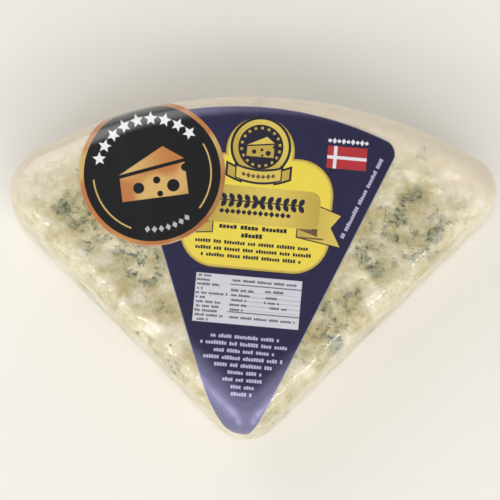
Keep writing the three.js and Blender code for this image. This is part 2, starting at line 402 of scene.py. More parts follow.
    def middle(self, z: float) -> np.ndarray:
        """The point where the top's and the base's rings close."""
        return np.array([self.centre[0], self.centre[1] + self.tip_radius, z])

    def outside(self, points: np.ndarray, inset: float) -> Tuple[np.ndarray, np.ndarray]:
        """How far plan points lie outside the inset outline.

        Args:
            points: plan points, one row each.
            inset: how far the outline is drawn in.

        Returns:
            The distances, negative inside, and the outward normals at the nearest point.
        """
        best = np.full(len(points), -np.inf)
        normals = np.zeros_like(points)
        for arc in self.arcs:
            offset = points - np.array(arc.centre)
            middle, half = (arc.start + arc.end) / 2, (arc.end - arc.start) / 2
            angle = np.arctan2(offset[:, 1], offset[:, 0]) - middle
            angle -= 2 * math.pi * np.round(angle / (2 * math.pi))
            turned = middle + np.clip(angle, -half, half)
            normal = np.stack([np.cos(turned), np.sin(turned)], axis=1)
            distance = (offset * normal).sum(axis=1) - (arc.radius - inset)
            nearer = distance > best
            best = np.where(nearer, distance, best)
            normals[nearer] = normal[nearer]
        return best, normals

    @property
    def shoulder_arc(self) -> float:
        """Length of the shoulder's section."""
        return self.shoulder * self.shoulder_turn

    def wrap(self, points: np.ndarray, lift: Union[float, np.ndarray], reach: float) -> np.ndarray:
        """Lays flat points on the wedge: level on top, bent over the shoulder and down the wall.

        Args:
            points: plan points, one row each.
            lift: how far off the wedge they lie.
            reach: how much of the flat length goes into the bend, less where a sheet lies taut.

        Returns:
            The points' places.
        """
        distance, normal = self.outside(points, self.top_inset)
        past = np.maximum(distance, 0.0)
        share = np.minimum(past / reach, 1.0)
        evenly = reach / self.shoulder_arc
        turn = self.shoulder_turn * (evenly * share + (1 - evenly) * share**3)
        down = np.maximum(past - reach, 0.0)
        radius = self.shoulder + lift
        out = radius * np.sin(turn) + down * math.sin(self.lean) - past
        z = self.height - self.shoulder + radius * np.cos(turn) - down * math.cos(self.lean)
        return np.column_stack([points + normal * out[:, None], z])


@dataclass
class LabelLayout:
    """The sector label's flat outline: u across, v along from the point where its sides would meet."""

    apex: Point = (-3.7, -7.3)
    turn: float = math.radians(4.5)
    half_angle: float = math.radians(21.9)
    end: float = 7.2
    end_corner: float = 0.9
    arc_centre: float = 8.2
    arc_radius: float = 91.1
    corner: float = 4.0

    @property
    def axes(self) -> Tuple[np.ndarray, np.ndarray]:
        """Directions across and along the label, seen from above."""
        along = np.array([math.sin(self.turn), math.cos(self.turn)])
        return np.array([along[1], -along[0]]), along

    def plan(self, flat: np.ndarray) -> np.ndarray:
        """Plan points of flat points."""
        across, along = self.axes
        return np.array(self.apex) + flat[:, :1] * across + flat[:, 1:] * along

    def outside(self, plan: np.ndarray) -> np.ndarray:
        """How far plan points lie outside the label, from its sides and its arc."""
        across, along = self.axes
        offset = plan - np.array(self.apex)
        u, v = offset @ across, offset @ along
        from_side = np.abs(u) * math.cos(self.half_angle) - v * math.sin(self.half_angle)
        from_arc = np.hypot(u, v - self.arc_centre) - self.arc_radius
        return np.maximum(from_side, from_arc)

    def reach(self, angle: float) -> float:
        """How far along a ray from the apex the label goes, with its outer corners rounded."""
        side = np.array([math.sin(self.half_angle), math.cos(self.half_angle)])
        inward = np.array([-side[1], side[0]]) * self.corner
        arc_centre = np.array([0.0, self.arc_centre])
        to_arc = arc_centre - inward
        along, inner = float(side @ to_arc), self.arc_radius - self.corner
        corner = side * (along + math.sqrt(along**2 - float(to_arc @ to_arc) + inner**2)) + inward
        touch = arc_centre + (corner - arc_centre) * self.arc_radius / inner
        turned = abs(angle)
        if turned > math.atan2(touch[0], touch[1]):
            return self._far_side(turned, corner, self.corner)
        return self._far_side(turned, arc_centre, self.arc_radius)

    @staticmethod
    def _far_side(angle: float, centre: np.ndarray, radius: float) -> float:
        """Where a ray from the apex leaves a circle, or passes nearest to it."""
        direction = np.array([math.sin(angle), math.cos(angle)])
        along = float(direction @ centre)
        return along + math.sqrt(max(along**2 - float(centre @ centre) + radius**2, 0.0))

    def start(self, angle: float) -> float:
        """Where the label begins on a ray from the apex, with its narrow end's corners rounded."""
        plain = self.end / math.cos(angle)
        width = self.end * math.tan(self.half_angle)
        past = max(abs(plain * math.sin(angle)) - (width - self.end_corner), 0.0)
        rise = self.end_corner - math.sqrt(max(self.end_corner**2 - min(past, self.end_corner) ** 2, 0.0))
        return plain + rise

    def rows(self, rows: int, columns: int) -> np.ndarray:
        """A grid of flat points, from the narrow end to the arc and from left to right."""
        grid = np.zeros((rows + 1, columns + 1, 2))
        shares = (1 - np.cos(math.pi * np.arange(rows + 1) / rows)) / 2
        shares = 0.5 * shares + 0.5 * np.arange(rows + 1) / rows
        for column in range(columns + 1):
            angle = self.half_angle * math.sin(RIGHT_ANGLE * (2 * column / columns - 1))
            first, last = self.start(angle), self.reach(angle)
            along = first + (last - first) * shares
            grid[:, column, 0] = along * math.sin(angle)
            grid[:, column, 1] = along * math.cos(angle)
        return grid


@dataclass
class SealLayout:
    """The round seal's place and size, with its print turned anticlockwise."""

    centre: Point = (-25.56, 73.54)
    radius: float = 19.4
    turn: float = math.radians(17)
    reach: float = 6.8

    def outside(self, plan: np.ndarray) -> np.ndarray:
        """How far plan points lie outside the seal."""
        return np.hypot(plan[:, 0] - self.centre[0], plan[:, 1] - self.centre[1]) - self.radius

    def plan(self, flat: np.ndarray) -> np.ndarray:
        """Plan points of flat points, which stand in the print's own turned axes."""
        cosine, sine = math.cos(self.turn), math.sin(self.turn)
        x = flat[:, 0] * cosine - flat[:, 1] * sine
        y = flat[:, 0] * sine + flat[:, 1] * cosine
        return np.array(self.centre) + np.column_stack([x, y])

    def rows(self, steps: int) -> np.ndarray:
        """A square grid drawn out to a disc."""
        line = np.linspace(-1, 1, steps + 1)
        x, y = np.meshgrid(line, line)
        disc = np.stack([x * np.sqrt(1 - y**2 / 2), y * np.sqrt(1 - x**2 / 2)], axis=-1)
        return disc * self.radius


DRAW_FACTOR = 16807
DRAW_MODULUS = 2147483647


@dataclass
class Dents:
    """Dents that mould pockets and crumbled curd leave in the surface, as in the solid model."""

    form: WedgeForm
    label: LabelLayout
    seal: SealLayout
    seed: int = 7
    count: int = 150
    radii: Tuple[float, float] = (3.6, 7.5)
    depths: Tuple[float, float] = (0.35, 1.3)
    fade: float = 5.0
    rind: Tuple[float, float] = (2.0, 12.0)
    rind_share: float = 0.25

    def draws(self) -> Iterator[float]:
        """Numbers from 0 to 1 that are the same on every run."""
        state = self.seed
        while True:
            state = state * DRAW_FACTOR % DRAW_MODULUS
            yield state / DRAW_MODULUS

    def bare(self, places: np.ndarray) -> np.ndarray:
        """How much of the relief shows: none under a sticker or at the foot, little at the rind."""
        plan = places[:, :2]
        clear = np.minimum(self.label.outside(plan), self.seal.outside(plan))
        clear = np.minimum(clear, places[:, 2] - self.form.foot)
        rim = self.form.arcs[1]
        from_rim = rim.radius - np.hypot(plan[:, 0] - rim.centre[0], plan[:, 1] - rim.centre[1])
        off_rind = self.rind_share + (1 - self.rind_share) * smoothstep(from_rim, *self.rind)
        return off_rind * smoothstep(clear, 0.0, self.fade)

    def depth(self, places: np.ndarray) -> np.ndarray:
        """How deep the dents are at each point. Where several reach it, the deepest counts."""
        spots = self.form.rings()[0].reshape(-1, 3)
        draw = self.draws()
        depth = np.zeros(len(places))
        for _ in range(self.count):
            spot = spots[int(next(draw) * len(spots))]
            radius = self.radii[0] + (self.radii[1] - self.radii[0]) * next(draw)
            deepest = self.depths[0] + (self.depths[1] - self.depths[0]) * next(draw) ** 2
            share = np.linalg.norm(places - spot, axis=1) / radius
            depth = np.maximum(depth, deepest * np.maximum(1 - share**2, 0.0) ** 2)
        return depth * self.bare(places)


# Meshes


@dataclass(frozen=True)
class FlatLayout:
    """How a sheet's flat millimetres lie on its UV map."""

    uv_name: str
    start: Point
    span: float

    def uv(self, flat: np.ndarray) -> np.ndarray:
        """UV coordinates of flat points."""
        return flat / self.span + np.array(self.start)


LABEL_PRINT = FlatLayout("label_print", (0.5, 0.0), 100.0)
SEAL_PRINT = FlatLayout("seal_print", (0.5, 0.5), 40.0)


def make_object(
    name: str, points: np.ndarray, faces: Sequence[Sequence[int]], form: WedgeForm
) -> bpy.types.Object:
    """Makes a smooth-shaded mesh object at the origin.

    Args:
        name: the piece's name.
        points: plan coordinates and height in millimetres.
        faces: corner numbers, anticlockwise from outside.
        form: the wedge, whose box's middle is the origin.

    Returns:
        The object, linked to the scene.
    """
    shifted = (points - np.append(form.centre, 0.0)) * MM
    mesh = bpy.data.meshes.new(name)
    mesh.from_pydata(shifted.tolist(), [], [list(face) for face in faces])
    mesh.shade_smooth()
    mesh.update()
    piece = bpy.data.objects.new(name, mesh)
    bpy.context.scene.collection.objects.link(piece)
    return piece


def ring_faces(rings: int, around: int) -> list:
    """Faces of a skin of rings, closed by a fan above and one below, whose middles come last."""
    index = np.arange(rings * around).reshape(rings, around)
    after = np.roll(index, -1, axis=1)
    walls = np.stack([index[:-1], after[:-1], after[1:], index[1:]], axis=-1).reshape(-1, 4).tolist()
    top, bottom = rings * around, rings * around + 1
    top_fan = np.stack([index[-1], after[-1], np.full(around, top)], axis=-1).tolist()
    bottom_fan = np.stack([after[0], index[0], np.full(around, bottom)], axis=-1).tolist()
    return walls + top_fan + bottom_fan


class SheetFace(Enum):
    """Material slots of a printed sheet."""

    PRINT = 0
    PAPER = 1


def make_sheet(
    name: str,
    grid: np.ndarray,
    plan: Callable[[np.ndarray], np.ndarray],
    lift: Callable[[np.ndarray], np.ndarray],
    thickness: float,
    layout: FlatLayout,
    form: WedgeForm,
    reach: float,
) -> bpy.types.Object:
    """Makes a thin closed sheet that lies on the wedge.

    Args:
        name: the piece's name.
        grid: rows of flat points.
        plan: turns flat points into plan points.
        lift: how far off the wedge the sheet's underside lies at plan points.
        thickness: the sheet's thickness.
        layout: the UV map for its print.
        form: the wedge.
        reach: how much of the sheet goes into its bend over the shoulder.

    Returns:
        The object, with the print's UV map and one material slot number on each face.
    """
    rows, columns = grid.shape[:2]
    flat = grid.reshape(-1, 2)
    spots = plan(flat)
    low = lift(spots)
    points = np.concatenate([form.wrap(spots, low + thickness, reach), form.wrap(spots, low, reach)])
    count = rows * columns
    index = np.arange(count).reshape(rows, columns)
    corners = (index[:-1, :-1], index[:-1, 1:], index[1:, 1:], index[1:, :-1])
    top = np.stack(corners, axis=-1).reshape(-1, 4)
    under = top[:, ::-1] + count
    border = np.concatenate([index[0, :-1], index[:-1, -1], index[-1, :0:-1], index[:0:-1, 0]])
    after = np.roll(border, -1)
    edge = np.stack([border, border + count, after + count, after], axis=-1)
    faces = np.concatenate([top, under, edge])
    piece = make_object(name, points, faces.tolist(), form)
    uv = layout.uv(np.concatenate([flat, flat]))
    corner_points = np.empty(len(piece.data.loops), dtype=np.int32)
    piece.data.loops.foreach_get("vertex_index", corner_points)
    piece.data.uv_layers.new(name=layout.uv_name).data.foreach_set("uv", uv[corner_points].ravel())
    slots = np.full(len(faces), SheetFace.PAPER.value, dtype=np.int32)
    slots[: len(top)] = SheetFace.PRINT.value
    piece.data.polygons.foreach_set("material_index", slots)
    return piece


# Curd


@dataclass(frozen=True)
class MouldPattern:
    """Where blue mould grows in the curd, in millimetres. The relief and the colour share it."""

    upright: float = 0.5
    origin: Tuple[float, float, float] = (0.0, -0.18, 1.0)
    warp_size: float = 7.0
    warp_detail: float = 3.0
    warp_reach: float = 6.0
    zone: Noise = (15.0, 3.0, 0.6)
    zone_ramp: Point = (0.5, 0.72)
    zone_in_pocket: float = 0.3
    blot: Noise = (3.6, 5.0, 0.68)
    blot_ramp: Point = (0.5, 0.68)
    blot_in_zone: float = 0.06
    vein: Noise = (6.5, 4.0, 0.62)
    vein_ramp: Point = (0.84, 0.98)
    vein_blot_ramp: Point = (0.34, 0.6)
    vein_share: float = 0.8
    outside_zone: float = 0.08
    speck: Noise = (1.25, 3.0, 0.7)
    speck_ramp: Point = (0.56, 0.68)
    speck_in_mould: float = 0.08
    speck_mould_ramp: Point = (0.1, 0.6)
    stray: Noise = (1.9, 2.0, 0.6)
    stray_ramp: Point = (0.7, 0.76)
    stray_share: float = 0.7

    def fields(self, bench: Bench, place: Value, pocket: Value) -> Tuple[Value, Value, Value]:
        """Builds the pattern.

        Args:
            bench: the tree to build it in.
            place: the point in millimetres.
            pocket: how near the point is to a mouldy pocket, from 0 to 1.

        Returns:
            The mouldy zone, its blots and veins, and small dark specks, each from 0 to 1.
        """
        squat = bench.scaled(place, (1.0, 1.0, self.upright))
        sockets = {"Vector": squat, "Scale": 1 / self.warp_size, "Detail": self.warp_detail}
        warp = bench.value("ShaderNodeTexNoise", None, sockets, "Color")
        moved = bench.vector("MULTIPLY_ADD", warp, (self.warp_reach,) * 3, squat)
        zone = bench.ramp(bench.noise(moved, *self.zone) + pocket * self.zone_in_pocket, *self.zone_ramp)
        blot = bench.noise(moved, *self.blot)
        ridge = 1 - abs(bench.noise(moved, *self.vein) - 0.5) * 2
        veins = bench.ramp(ridge, *self.vein_ramp) * bench.ramp(blot, *self.vein_blot_ramp)
        blots = bench.ramp(blot + zone * self.blot_in_zone, *self.blot_ramp)
        spread = zone * (1 - self.outside_zone) + self.outside_zone
        mould = ((veins * self.vein_share | blots) * spread).clamped()
        fine = bench.noise(moved, *self.speck) + mould * self.speck_in_mould
        specks = bench.ramp(fine, *self.speck_ramp) * bench.ramp(mould, *self.speck_mould_ramp)
        strays = bench.ramp(bench.noise(place, *self.stray), *self.stray_ramp)
        return zone, mould, specks | strays * self.stray_share


@dataclass(frozen=True)
class CurdFinish:
    """Ivory curd with olive patches, grey-green mould and a smooth rind along the rim."""

    ivory: Colour = srgb(236, 228, 206)
    cream: Colour = srgb(221, 210, 174)
    olive: Colour = srgb(188, 172, 116)
    khaki: Colour = srgb(206, 193, 148)
    mould: Colour = srgb(152, 152, 120)
    blue: Colour = srgb(138, 144, 124)
    speck: Colour = srgb(80, 86, 64)
    rind: Colour = srgb(238, 223, 199)
    pattern: MouldPattern = MouldPattern()
    soft: Noise = (4.2, 5.0, 0.66)
    soft_ramp: Point = (0.4, 0.62)
    patch: Noise = (8.0, 6.0, 0.72)
    patch_ramp: Point = (0.38, 0.66)
    patch_in_zone: float = 0.05
    patch_in_pocket: float = 0.07
    patch_share: float = 0.9
    dusk: Noise = (2.4, 3.0, 0.6)
    dusk_ramp: Point = (0.38, 0.64)
    hue: Noise = (7.0, 2.0, 0.5)
    hue_ramp: Point = (0.42, 0.6)
    mould_share: float = 0.85
    rind_shows: float = 0.75
    rind_hides: float = 0.7
    rind_inner: float = 17.0
    rind_outer: float = 5.0
    waver: Noise = (6.0, 4.0, 0.6)
    waver_reach: float = 9.0
    fine_crumb: Noise = (1.3, 4.0, 0.62)
    fine_share: float = 0.6
    coarse_crumb: Noise = (4.0, 3.0, 0.6)
    coarse_share: float = 1.6
    crumb_height: float = 0.5
    crumb_strength: float = 0.7

    def material(self, form: WedgeForm) -> bpy.types.Material:
        """Builds the curd's material."""
        surface = Surface("veined_curd", Roughness=0.5, IOR=1.4)
        place = surface.vector("ADD", surface.place_mm(), self.pattern.origin)
        pocket = surface.value("ShaderNodeAttribute", {"attribute_name": "pocket"}, output="Fac")
        zone, mould, specks = self.pattern.fields(surface, place, pocket)
        rind = self.rind_share(surface, place, form)
        soft = surface.ramp(surface.noise(place, *self.soft), *self.soft_ramp)
        colour = surface.mixed(soft, self.ivory, self.cream)
        patch = surface.noise(place, *self.patch) + zone * self.patch_in_zone + pocket * self.patch_in_pocket
        patches = surface.ramp(patch, *self.patch_ramp) * (1 - rind) * self.patch_share
        dusk = surface.ramp(surface.noise(place, *self.dusk), *self.dusk_ramp)
        colour = surface.mixed(patches, colour, surface.mixed(dusk, self.olive, self.khaki))
        colour = surface.mixed(rind * self.rind_shows, colour, self.rind)
        hue = surface.ramp(surface.noise(place, *self.hue), *self.hue_ramp)
        shown = (1 - rind * self.rind_hides) * self.mould_share
        colour = surface.mixed(mould * shown, colour, surface.mixed(hue, self.mould, self.blue))
        colour = surface.mixed(specks * shown, colour, self.speck)
        surface.drive("Base Color", colour)
        crumb = surface.noise(place, *self.fine_crumb) * self.fine_share
        crumb = crumb + surface.noise(place, *self.coarse_crumb) * self.coarse_share
        surface.drive("Normal", surface.bumped(crumb, self.crumb_height * MM, self.crumb_strength))
        return surface.material

    def rind_share(self, bench: Bench, place: Value, form: WedgeForm) -> Value:
        """How much of the rind shows at a point, from its distance to the rim's centre."""
        centre = np.array(form.arcs[1].centre) - form.centre
        x, y, _ = bench.parts(place)
        across, along = x - float(centre[0]), y - float(centre[1])
        reach = (across * across + along * along) ** 0.5
        wavering = reach + (bench.noise(place, *self.waver) - 0.5) * self.waver_reach
        return bench.ramp(wavering, form.rim_radius - self.rind_inner, form.rim_radius - self.rind_outer)


@dataclass
class Curd:
    """The cheese itself, just inside the film."""

    form: WedgeForm
    dents: Dents
    finish: CurdFinish
    film_gap: float = 0.18
    fineness: int = 4
    top_fineness: int = 5
    relief: float = 0.55
    lump: Noise = (5.0, 3.0, 0.5)
    mould_depth: float = 0.7
    speck_depth: float = 0.5
    lump_depth: float = 0.7
    even_depth: float = 0.2
    pockets: Sequence[Tuple[float, float, float, float]] = (
        (36.1, 10.2, 34.0, 8.0),
        (33.2, 1.0, 33.0, 8.0),
        (42.4, 5.6, 32.0, 7.5),
        (24.0, -11.1, 32.0, 9.0),
        (17.7, -22.1, 30.0, 8.5),
        (42.4, 17.8, 34.0, 5.5),
        (28.6, 36.8, 34.0, 3.5),
        (-30.4, -0.1, 34.0, 9.5),
        (-41.8, 8.5, 32.0, 7.0),
        (-48.2, 13.2, 33.0, 6.0),
        (-22.9, -13.9, 32.0, 4.5),
        (-15.4, -29.6, 28.0, 4.0),
        (-30.0, -8.0, 12.0, 10.0),
        (26.0, -12.0, 12.0, 12.0),
        (48.0, 10.0, 10.0, 10.0),
    )

    def build(self) -> bpy.types.Object:
        """Makes the curd with its dents, lets Geometry Nodes sink the mould, and dresses it."""
        places, normals = self.form.rings(self.fineness, self.top_fineness)
        rings, around = places.shape[:2]
        flat_places, flat_normals = places.reshape(-1, 3), normals.reshape(-1, 3)
        bare = self.dents.bare(flat_places)
        sunk = self.dents.depth(flat_places) + self.film_gap
        points = flat_places - flat_normals * sunk[:, None]
        top = self.form.middle(self.form.height - self.film_gap)
        points = np.concatenate([points, [top, self.form.middle(0.0)]])
        points[:, 2] = np.maximum(points[:, 2], self.film_gap)
        smooth = make_object("curd_smooth", points, ring_faces(rings, around), self.form)
        centred = points - np.append(self.form.centre, 0.0)
        for name, values in (("bare", np.append(bare, [0.0, 0.0])), ("pocket", self._pocket(centred))):
            attribute = smooth.data.attributes.new(name, "FLOAT", "POINT")
            attribute.data.foreach_set("value", values.astype(np.float32))
        return self._sink_mould(smooth)

    def _pocket(self, places: np.ndarray) -> np.ndarray:
        """How near each point is to a mouldy pocket, from 0 to 1."""
        near = np.zeros(len(places))
        for x, y, z, radius in self.pockets:
            share = np.linalg.norm(places - np.array([x, y, z]), axis=1) / radius
            near = np.maximum(near, np.maximum(1 - share**2, 0.0))
        return near

    def _sink_mould(self, smooth: bpy.types.Object) -> bpy.types.Object:
        """Runs the Geometry Nodes tree on the smooth curd and keeps its result as a plain mesh."""
        tree = self._relief_tree(self.finish.material(self.form))
        modifier = smooth.modifiers.new("relief", "NODES")
        modifier.node_group = tree
        sizes = {item.name: item.identifier for item in tree.interface.items_tree if item.in_out == "INPUT"}
        modifier[sizes["Depth"]] = self.relief * MM
        evaluated = smooth.evaluated_get(bpy.context.evaluated_depsgraph_get())
        mesh = bpy.data.meshes.new_from_object(evaluated)
        mesh.name = "curd"
        piece = bpy.data.objects.new("curd", mesh)
        bpy.context.scene.collection.objects.link(piece)
        bpy.data.objects.remove(smooth)
        return piece

    def _relief_tree(self, material: bpy.types.Material) -> bpy.types.NodeTree:
        """The tree that sinks mouldy places and roughens the curd, scaled by its bare share."""
        tree = bpy.data.node_groups.new("mould_relief", "GeometryNodeTree")
        face = tree.interface
        face.new_socket("Geometry", in_out="INPUT", socket_type="NodeSocketGeometry")
        face.new_socket("Depth", in_out="INPUT", socket_type="NodeSocketFloat")
        face.new_socket("Geometry", in_out="OUTPUT", socket_type="NodeSocketGeometry")
        bench = Bench(tree)
        entry = bench.node("NodeGroupInput")
        position = bench.value("GeometryNodeInputPosition")
        place = bench.vector("MULTIPLY_ADD", position, (1 / MM,) * 3, self.finish.pattern.origin)
        pocket, bare = self._stored(bench, "pocket"), self._stored(bench, "bare")
        _, mould, specks = self.finish.pattern.fields(bench, place, pocket)
        lumps = bench.noise(place, *self.lump) - 0.5
        depth = mould * self.mould_depth + specks * self.speck_depth + lumps * self.lump_depth
        depth = (depth + self.even_depth) * bare * Value(bench, entry.outputs["Depth"])
        along = {0: bench.value("GeometryNodeInputNormal"), "Scale": depth * -1.0}
        inward = bench.node("ShaderNodeVectorMath", {"operation": "SCALE"}, along)
        sockets = {"Geometry": entry.outputs["Geometry"], "Offset": inward.outputs[0]}
        moved = bench.node("GeometryNodeSetPosition", None, sockets)
        real = bench.node("GeometryNodeRealizeInstances", None, {"Geometry": moved.outputs[0]})
        sockets = {"Geometry": real.outputs[0], "Material": material}
        dressed = bench.node("GeometryNodeSetMaterial", None, sockets)
        bench.node("NodeGroupOutput", None, {"Geometry": dressed.outputs[0]})
        return tree

    @staticmethod
    def _stored(bench: Bench, name: str) -> Value:
        """Reads one of the mesh's own attributes."""
        settings = {"data_type": "FLOAT"}
        return bench.value("GeometryNodeInputNamedAttribute", settings, {"Name": name}, "Attribute")


# Film


@dataclass(frozen=True)
class FilmFinish:
    """Clear shrink film: nothing but its shine, with faint creases."""

    roughness: float = 0.06
    straight: float = 0.07
    grazing_power: float = 5.0
    most: float = 0.4
    squash: float = 0.6
    fold: Noise = (6.5, 3.0, 0.55)
    fold_share: float = 0.7
    crease: Noise = (12.0, 2.0, 0.5)
    crease_sharpness: float = 8.0
    crease_share: float = 0.25
    grain: Noise = (1.6, 2.0, 0.5)
    grain_share: float = 0.08
    bump_height: float = 0.9
    bump_strength: float = 0.55

    def material(self) -> bpy.types.Material:
        """Builds the film's material."""
        surface = Surface("clear_film", Base_Color=(1, 1, 1, 1), Roughness=self.roughness, Metallic=1.0)
        place = surface.place_mm()
        folds = surface.noise(surface.scaled(place, (1.0, 1.0, self.squash)), *self.fold)
        crease = 1 - abs(surface.noise(place, *self.crease) - 0.5) * self.crease_sharpness
        height = folds * self.fold_share + crease.clamped() * self.crease_share
        height = height + surface.noise(place, *self.grain) * self.grain_share
        normal = surface.bumped(height, self.bump_height * MM, self.bump_strength)
        surface.drive("Normal", normal)
        facing = surface.value("ShaderNodeLayerWeight", None, {"Blend": 0.5, "Normal": normal}, "Facing")
        share = (facing**self.grazing_power * (1 - self.straight) + self.straight) & self.most
        clear = surface.node("ShaderNodeBsdfTransparent", None, {"Color": (1, 1, 1, 1)})
        both = {0: share, 1: clear.outputs[0], 2: surface.shader.outputs[0]}
        mix = surface.node("ShaderNodeMixShader", None, both)
        surface.tree.links.new(mix.outputs[0], surface.output.inputs["Surface"])
        return surface.material


@dataclass
class Film:
    """The film round the curd, drawn tight over the dents."""

    form: WedgeForm
    dents: Dents
    finish: FilmFinish
    fineness: int = 3
    top_fineness: int = 4
    follow: float = 0.85

    def build(self) -> bpy.types.Object:
        """Makes the film's closed skin."""
        places, normals = self.form.rings(self.fineness, self.top_fineness)
        rings, around = places.shape[:2]
        flat_places, flat_normals = places.reshape(-1, 3), normals.reshape(-1, 3)
        sunk = self.dents.depth(flat_places) * self.follow
        points = flat_places - flat_normals * sunk[:, None]
        points = np.concatenate([points, [self.form.middle(self.form.height), self.form.middle(0.0)]])
        piece = make_object("film", points, ring_faces(rings, around), self.form)
        piece.data.materials.append(self.finish.material())
        return piece


# Print


class Artwork:
    """Draws flat shapes in millimetres as distance fields, and paints them in layers."""

    def __init__(self, surface: Surface, across: Value, along: Value, soft: float) -> None:
        """Keeps the surface, the flat coordinates and the width over which an edge fades."""
        self.surface = surface
        self.across = across
        self.along = along
        self.soft = soft

    def moved(self, centre: Point, turn: float = 0.0, scale: float = 1.0) -> "Artwork":
        """The same sheet with its axes moved, turned anticlockwise and scaled."""
        x, y = self.across - centre[0], self.along - centre[1]
        cosine, sine = math.cos(turn) / scale, math.sin(turn) / scale
        if turn:
            x, y = x * cosine + y * sine, y * cosine - x * sine
        elif scale != 1.0:
            x, y = x * cosine, y * cosine
        return Artwork(self.surface, x, y, self.soft / scale)

    def inside(self, distance: Value) -> Value:
        """Turns a distance, negative inside a shape, into a mask."""
        return self.surface.math("MULTIPLY_ADD", distance, -1.0 / self.soft, 0.5, clamp=True)

    def layers(self, colour: object, *shapes: Tuple[Value, object]) -> Value:
        """Paints shapes on a colour, one over the other, each given by its distance and its paint."""
        for distance, paint in shapes:
            colour = self.surface.mixed(self.inside(distance), colour, paint)
        return colour

    def half_plane(self, start: Point, end: Point) -> Value:
        """Distance to the right of the line from start to end."""
        length = math.dist(start, end)
        x, y = (end[1] - start[1]) / length, -(end[0] - start[0]) / length
        return self.across * x + self.along * y - (start[0] * x + start[1] * y)

    def polygon(self, *corners: Point) -> Value:
        """Distance to a convex shape whose corners run anticlockwise."""
        distance = self.half_plane(corners[-1], corners[0])
        for start, end in zip(corners, corners[1:]):
            distance = distance | self.half_plane(start, end)
        return distance

    def box(self, left: float, right: float, low: float, high: float) -> Value:
        """Distance to an upright box."""
        x = abs(self.across - (left + right) / 2) - (right - left) / 2
        y = abs(self.along - (low + high) / 2) - (high - low) / 2
        return x | y

    def round_box(self, left: float, right: float, low: float, high: float, radius: float) -> Value:
        """Distance to an upright box with rounded corners."""
        x = abs(self.across - (left + right) / 2) - ((right - left) / 2 - radius)
        y = abs(self.along - (low + high) / 2) - ((high - low) / 2 - radius)
        out_x, out_y = x | 0.0, y | 0.0
        return (out_x * out_x + out_y * out_y) ** 0.5 + ((x | y) & 0.0) - radius

    def radius(self, centre: Point = (0.0, 0.0)) -> Value:
        """Distance from a point."""
        x, y = self.across - centre[0], self.along - centre[1]
        return (x * x + y * y) ** 0.5

    def disc(self, centre: Point, radius: float) -> Value:
        """Distance to a disc."""
        return self.radius(centre) - radius

    def angle(self) -> Value:
        """Angle of the point about the sheet's centre, anticlockwise from the right."""
        return self.surface.math("ARCTAN2", self.along, self.across)


@dataclass(frozen=True)
class Paragraph:
    """Rows of small upright marks in groups, like lines of print."""

    first: float
    pitch: float
    height: float
    lines: Sequence[Tuple[float, float]]
    mark: float = 0.7
    word: float = 6.5
    low: float = 0.6
    high: float = 0.86
    gap: float = 0.15
    crisp: float = 30.0
    row_shift: float = 7.31

    def mask(self, art: Artwork) -> Value:
        """Where the marks are, from the lowest line up."""
        surface = art.surface
        level = (art.along - (self.first - self.pitch / 2)) / self.pitch
        row = level.floor()
        up = (level - row - 0.5) * self.pitch
        step = art.across / self.mark + row * self.row_shift
        cell = step.floor()
        aside = (step - cell - 0.5) * self.mark
        drawn = self._chance(surface, cell, row)
        half = (drawn * (self.high - self.low) + self.low) * (self.height / 2)
        marks = (abs(up + self.height / 2 - half) - half) | (abs(aside) - (self.mark - self.gap) / 2)
        slot = (cell / self.word).floor()
        break_at = self._chance(surface, slot + 0.5, row)
        space = 0.5 - abs(cell + 0.5 - slot * self.word - 1.0 - break_at * (self.word - 2.0))
        marks = marks | (space * self.crisp)
        whole = (cell + 0.5 - row * self.row_shift) * self.mark
        lines = None
        for number, (left, right) in enumerate(self.lines):
            past_end = (abs(whole - (left + right) / 2) - (right - left) / 2) * self.crisp
            here = past_end | (abs(row - float(number)) - 0.5)
            lines = here if lines is None else lines & here
        return art.inside(marks | lines)

    @staticmethod
    def _chance(surface: Surface, cell: Value, row: Value) -> Value:
        """A random number from 0 to 1 for one cell."""
        sockets = {"Vector": surface.joined(cell, row)}
        return surface.value("ShaderNodeTexWhiteNoise", {"noise_dimensions": "2D"}, sockets, "Value")


@dataclass(frozen=True)
class Row:
    """A row of ornaments: its ends, its middle along the sheet, its height and how many there are."""

    left: float
    right: float
    middle: float
    height: float
    count: int

    @property
    def centre(self) -> float:
        """Middle of the row across the sheet."""
        return (self.left + self.right) / 2

    @property
    def half(self) -> float:
        """Half of the row's length."""
        return (self.right - self.left) / 2


DOT_SIZE = 0.38
LOZENGE_EDGE = 0.4
LEAF_LEAN = math.radians(58)
LEAF_OVERLAP = 1.04
LEAF_WIDTH = 0.33
STEM_WIDTH = 0.05
BERRY_SIZE = 0.16


def ornament_row(art: Artwork, row: Row) -> Value:
    """The mask of a row of dots and lozenges in turn."""
    pitch = 2 * row.half / row.count
    step = (art.across - row.left) / pitch
    cell = step.floor()
    x, y = abs((step - cell - 0.5) * pitch), abs(art.along - row.middle)
    dot = (x * x + y * y) ** 0.5 - min(pitch * DOT_SIZE, row.height / 2)
    lozenge = (x / (pitch / 2) + y / (row.height / 2) - 1) * (pitch * LOZENGE_EDGE)
    odd = cell - (cell / 2).floor() * 2
    shape = dot + (lozenge - dot) * odd
    return art.inside(shape | (abs(art.across - row.centre) - row.half))


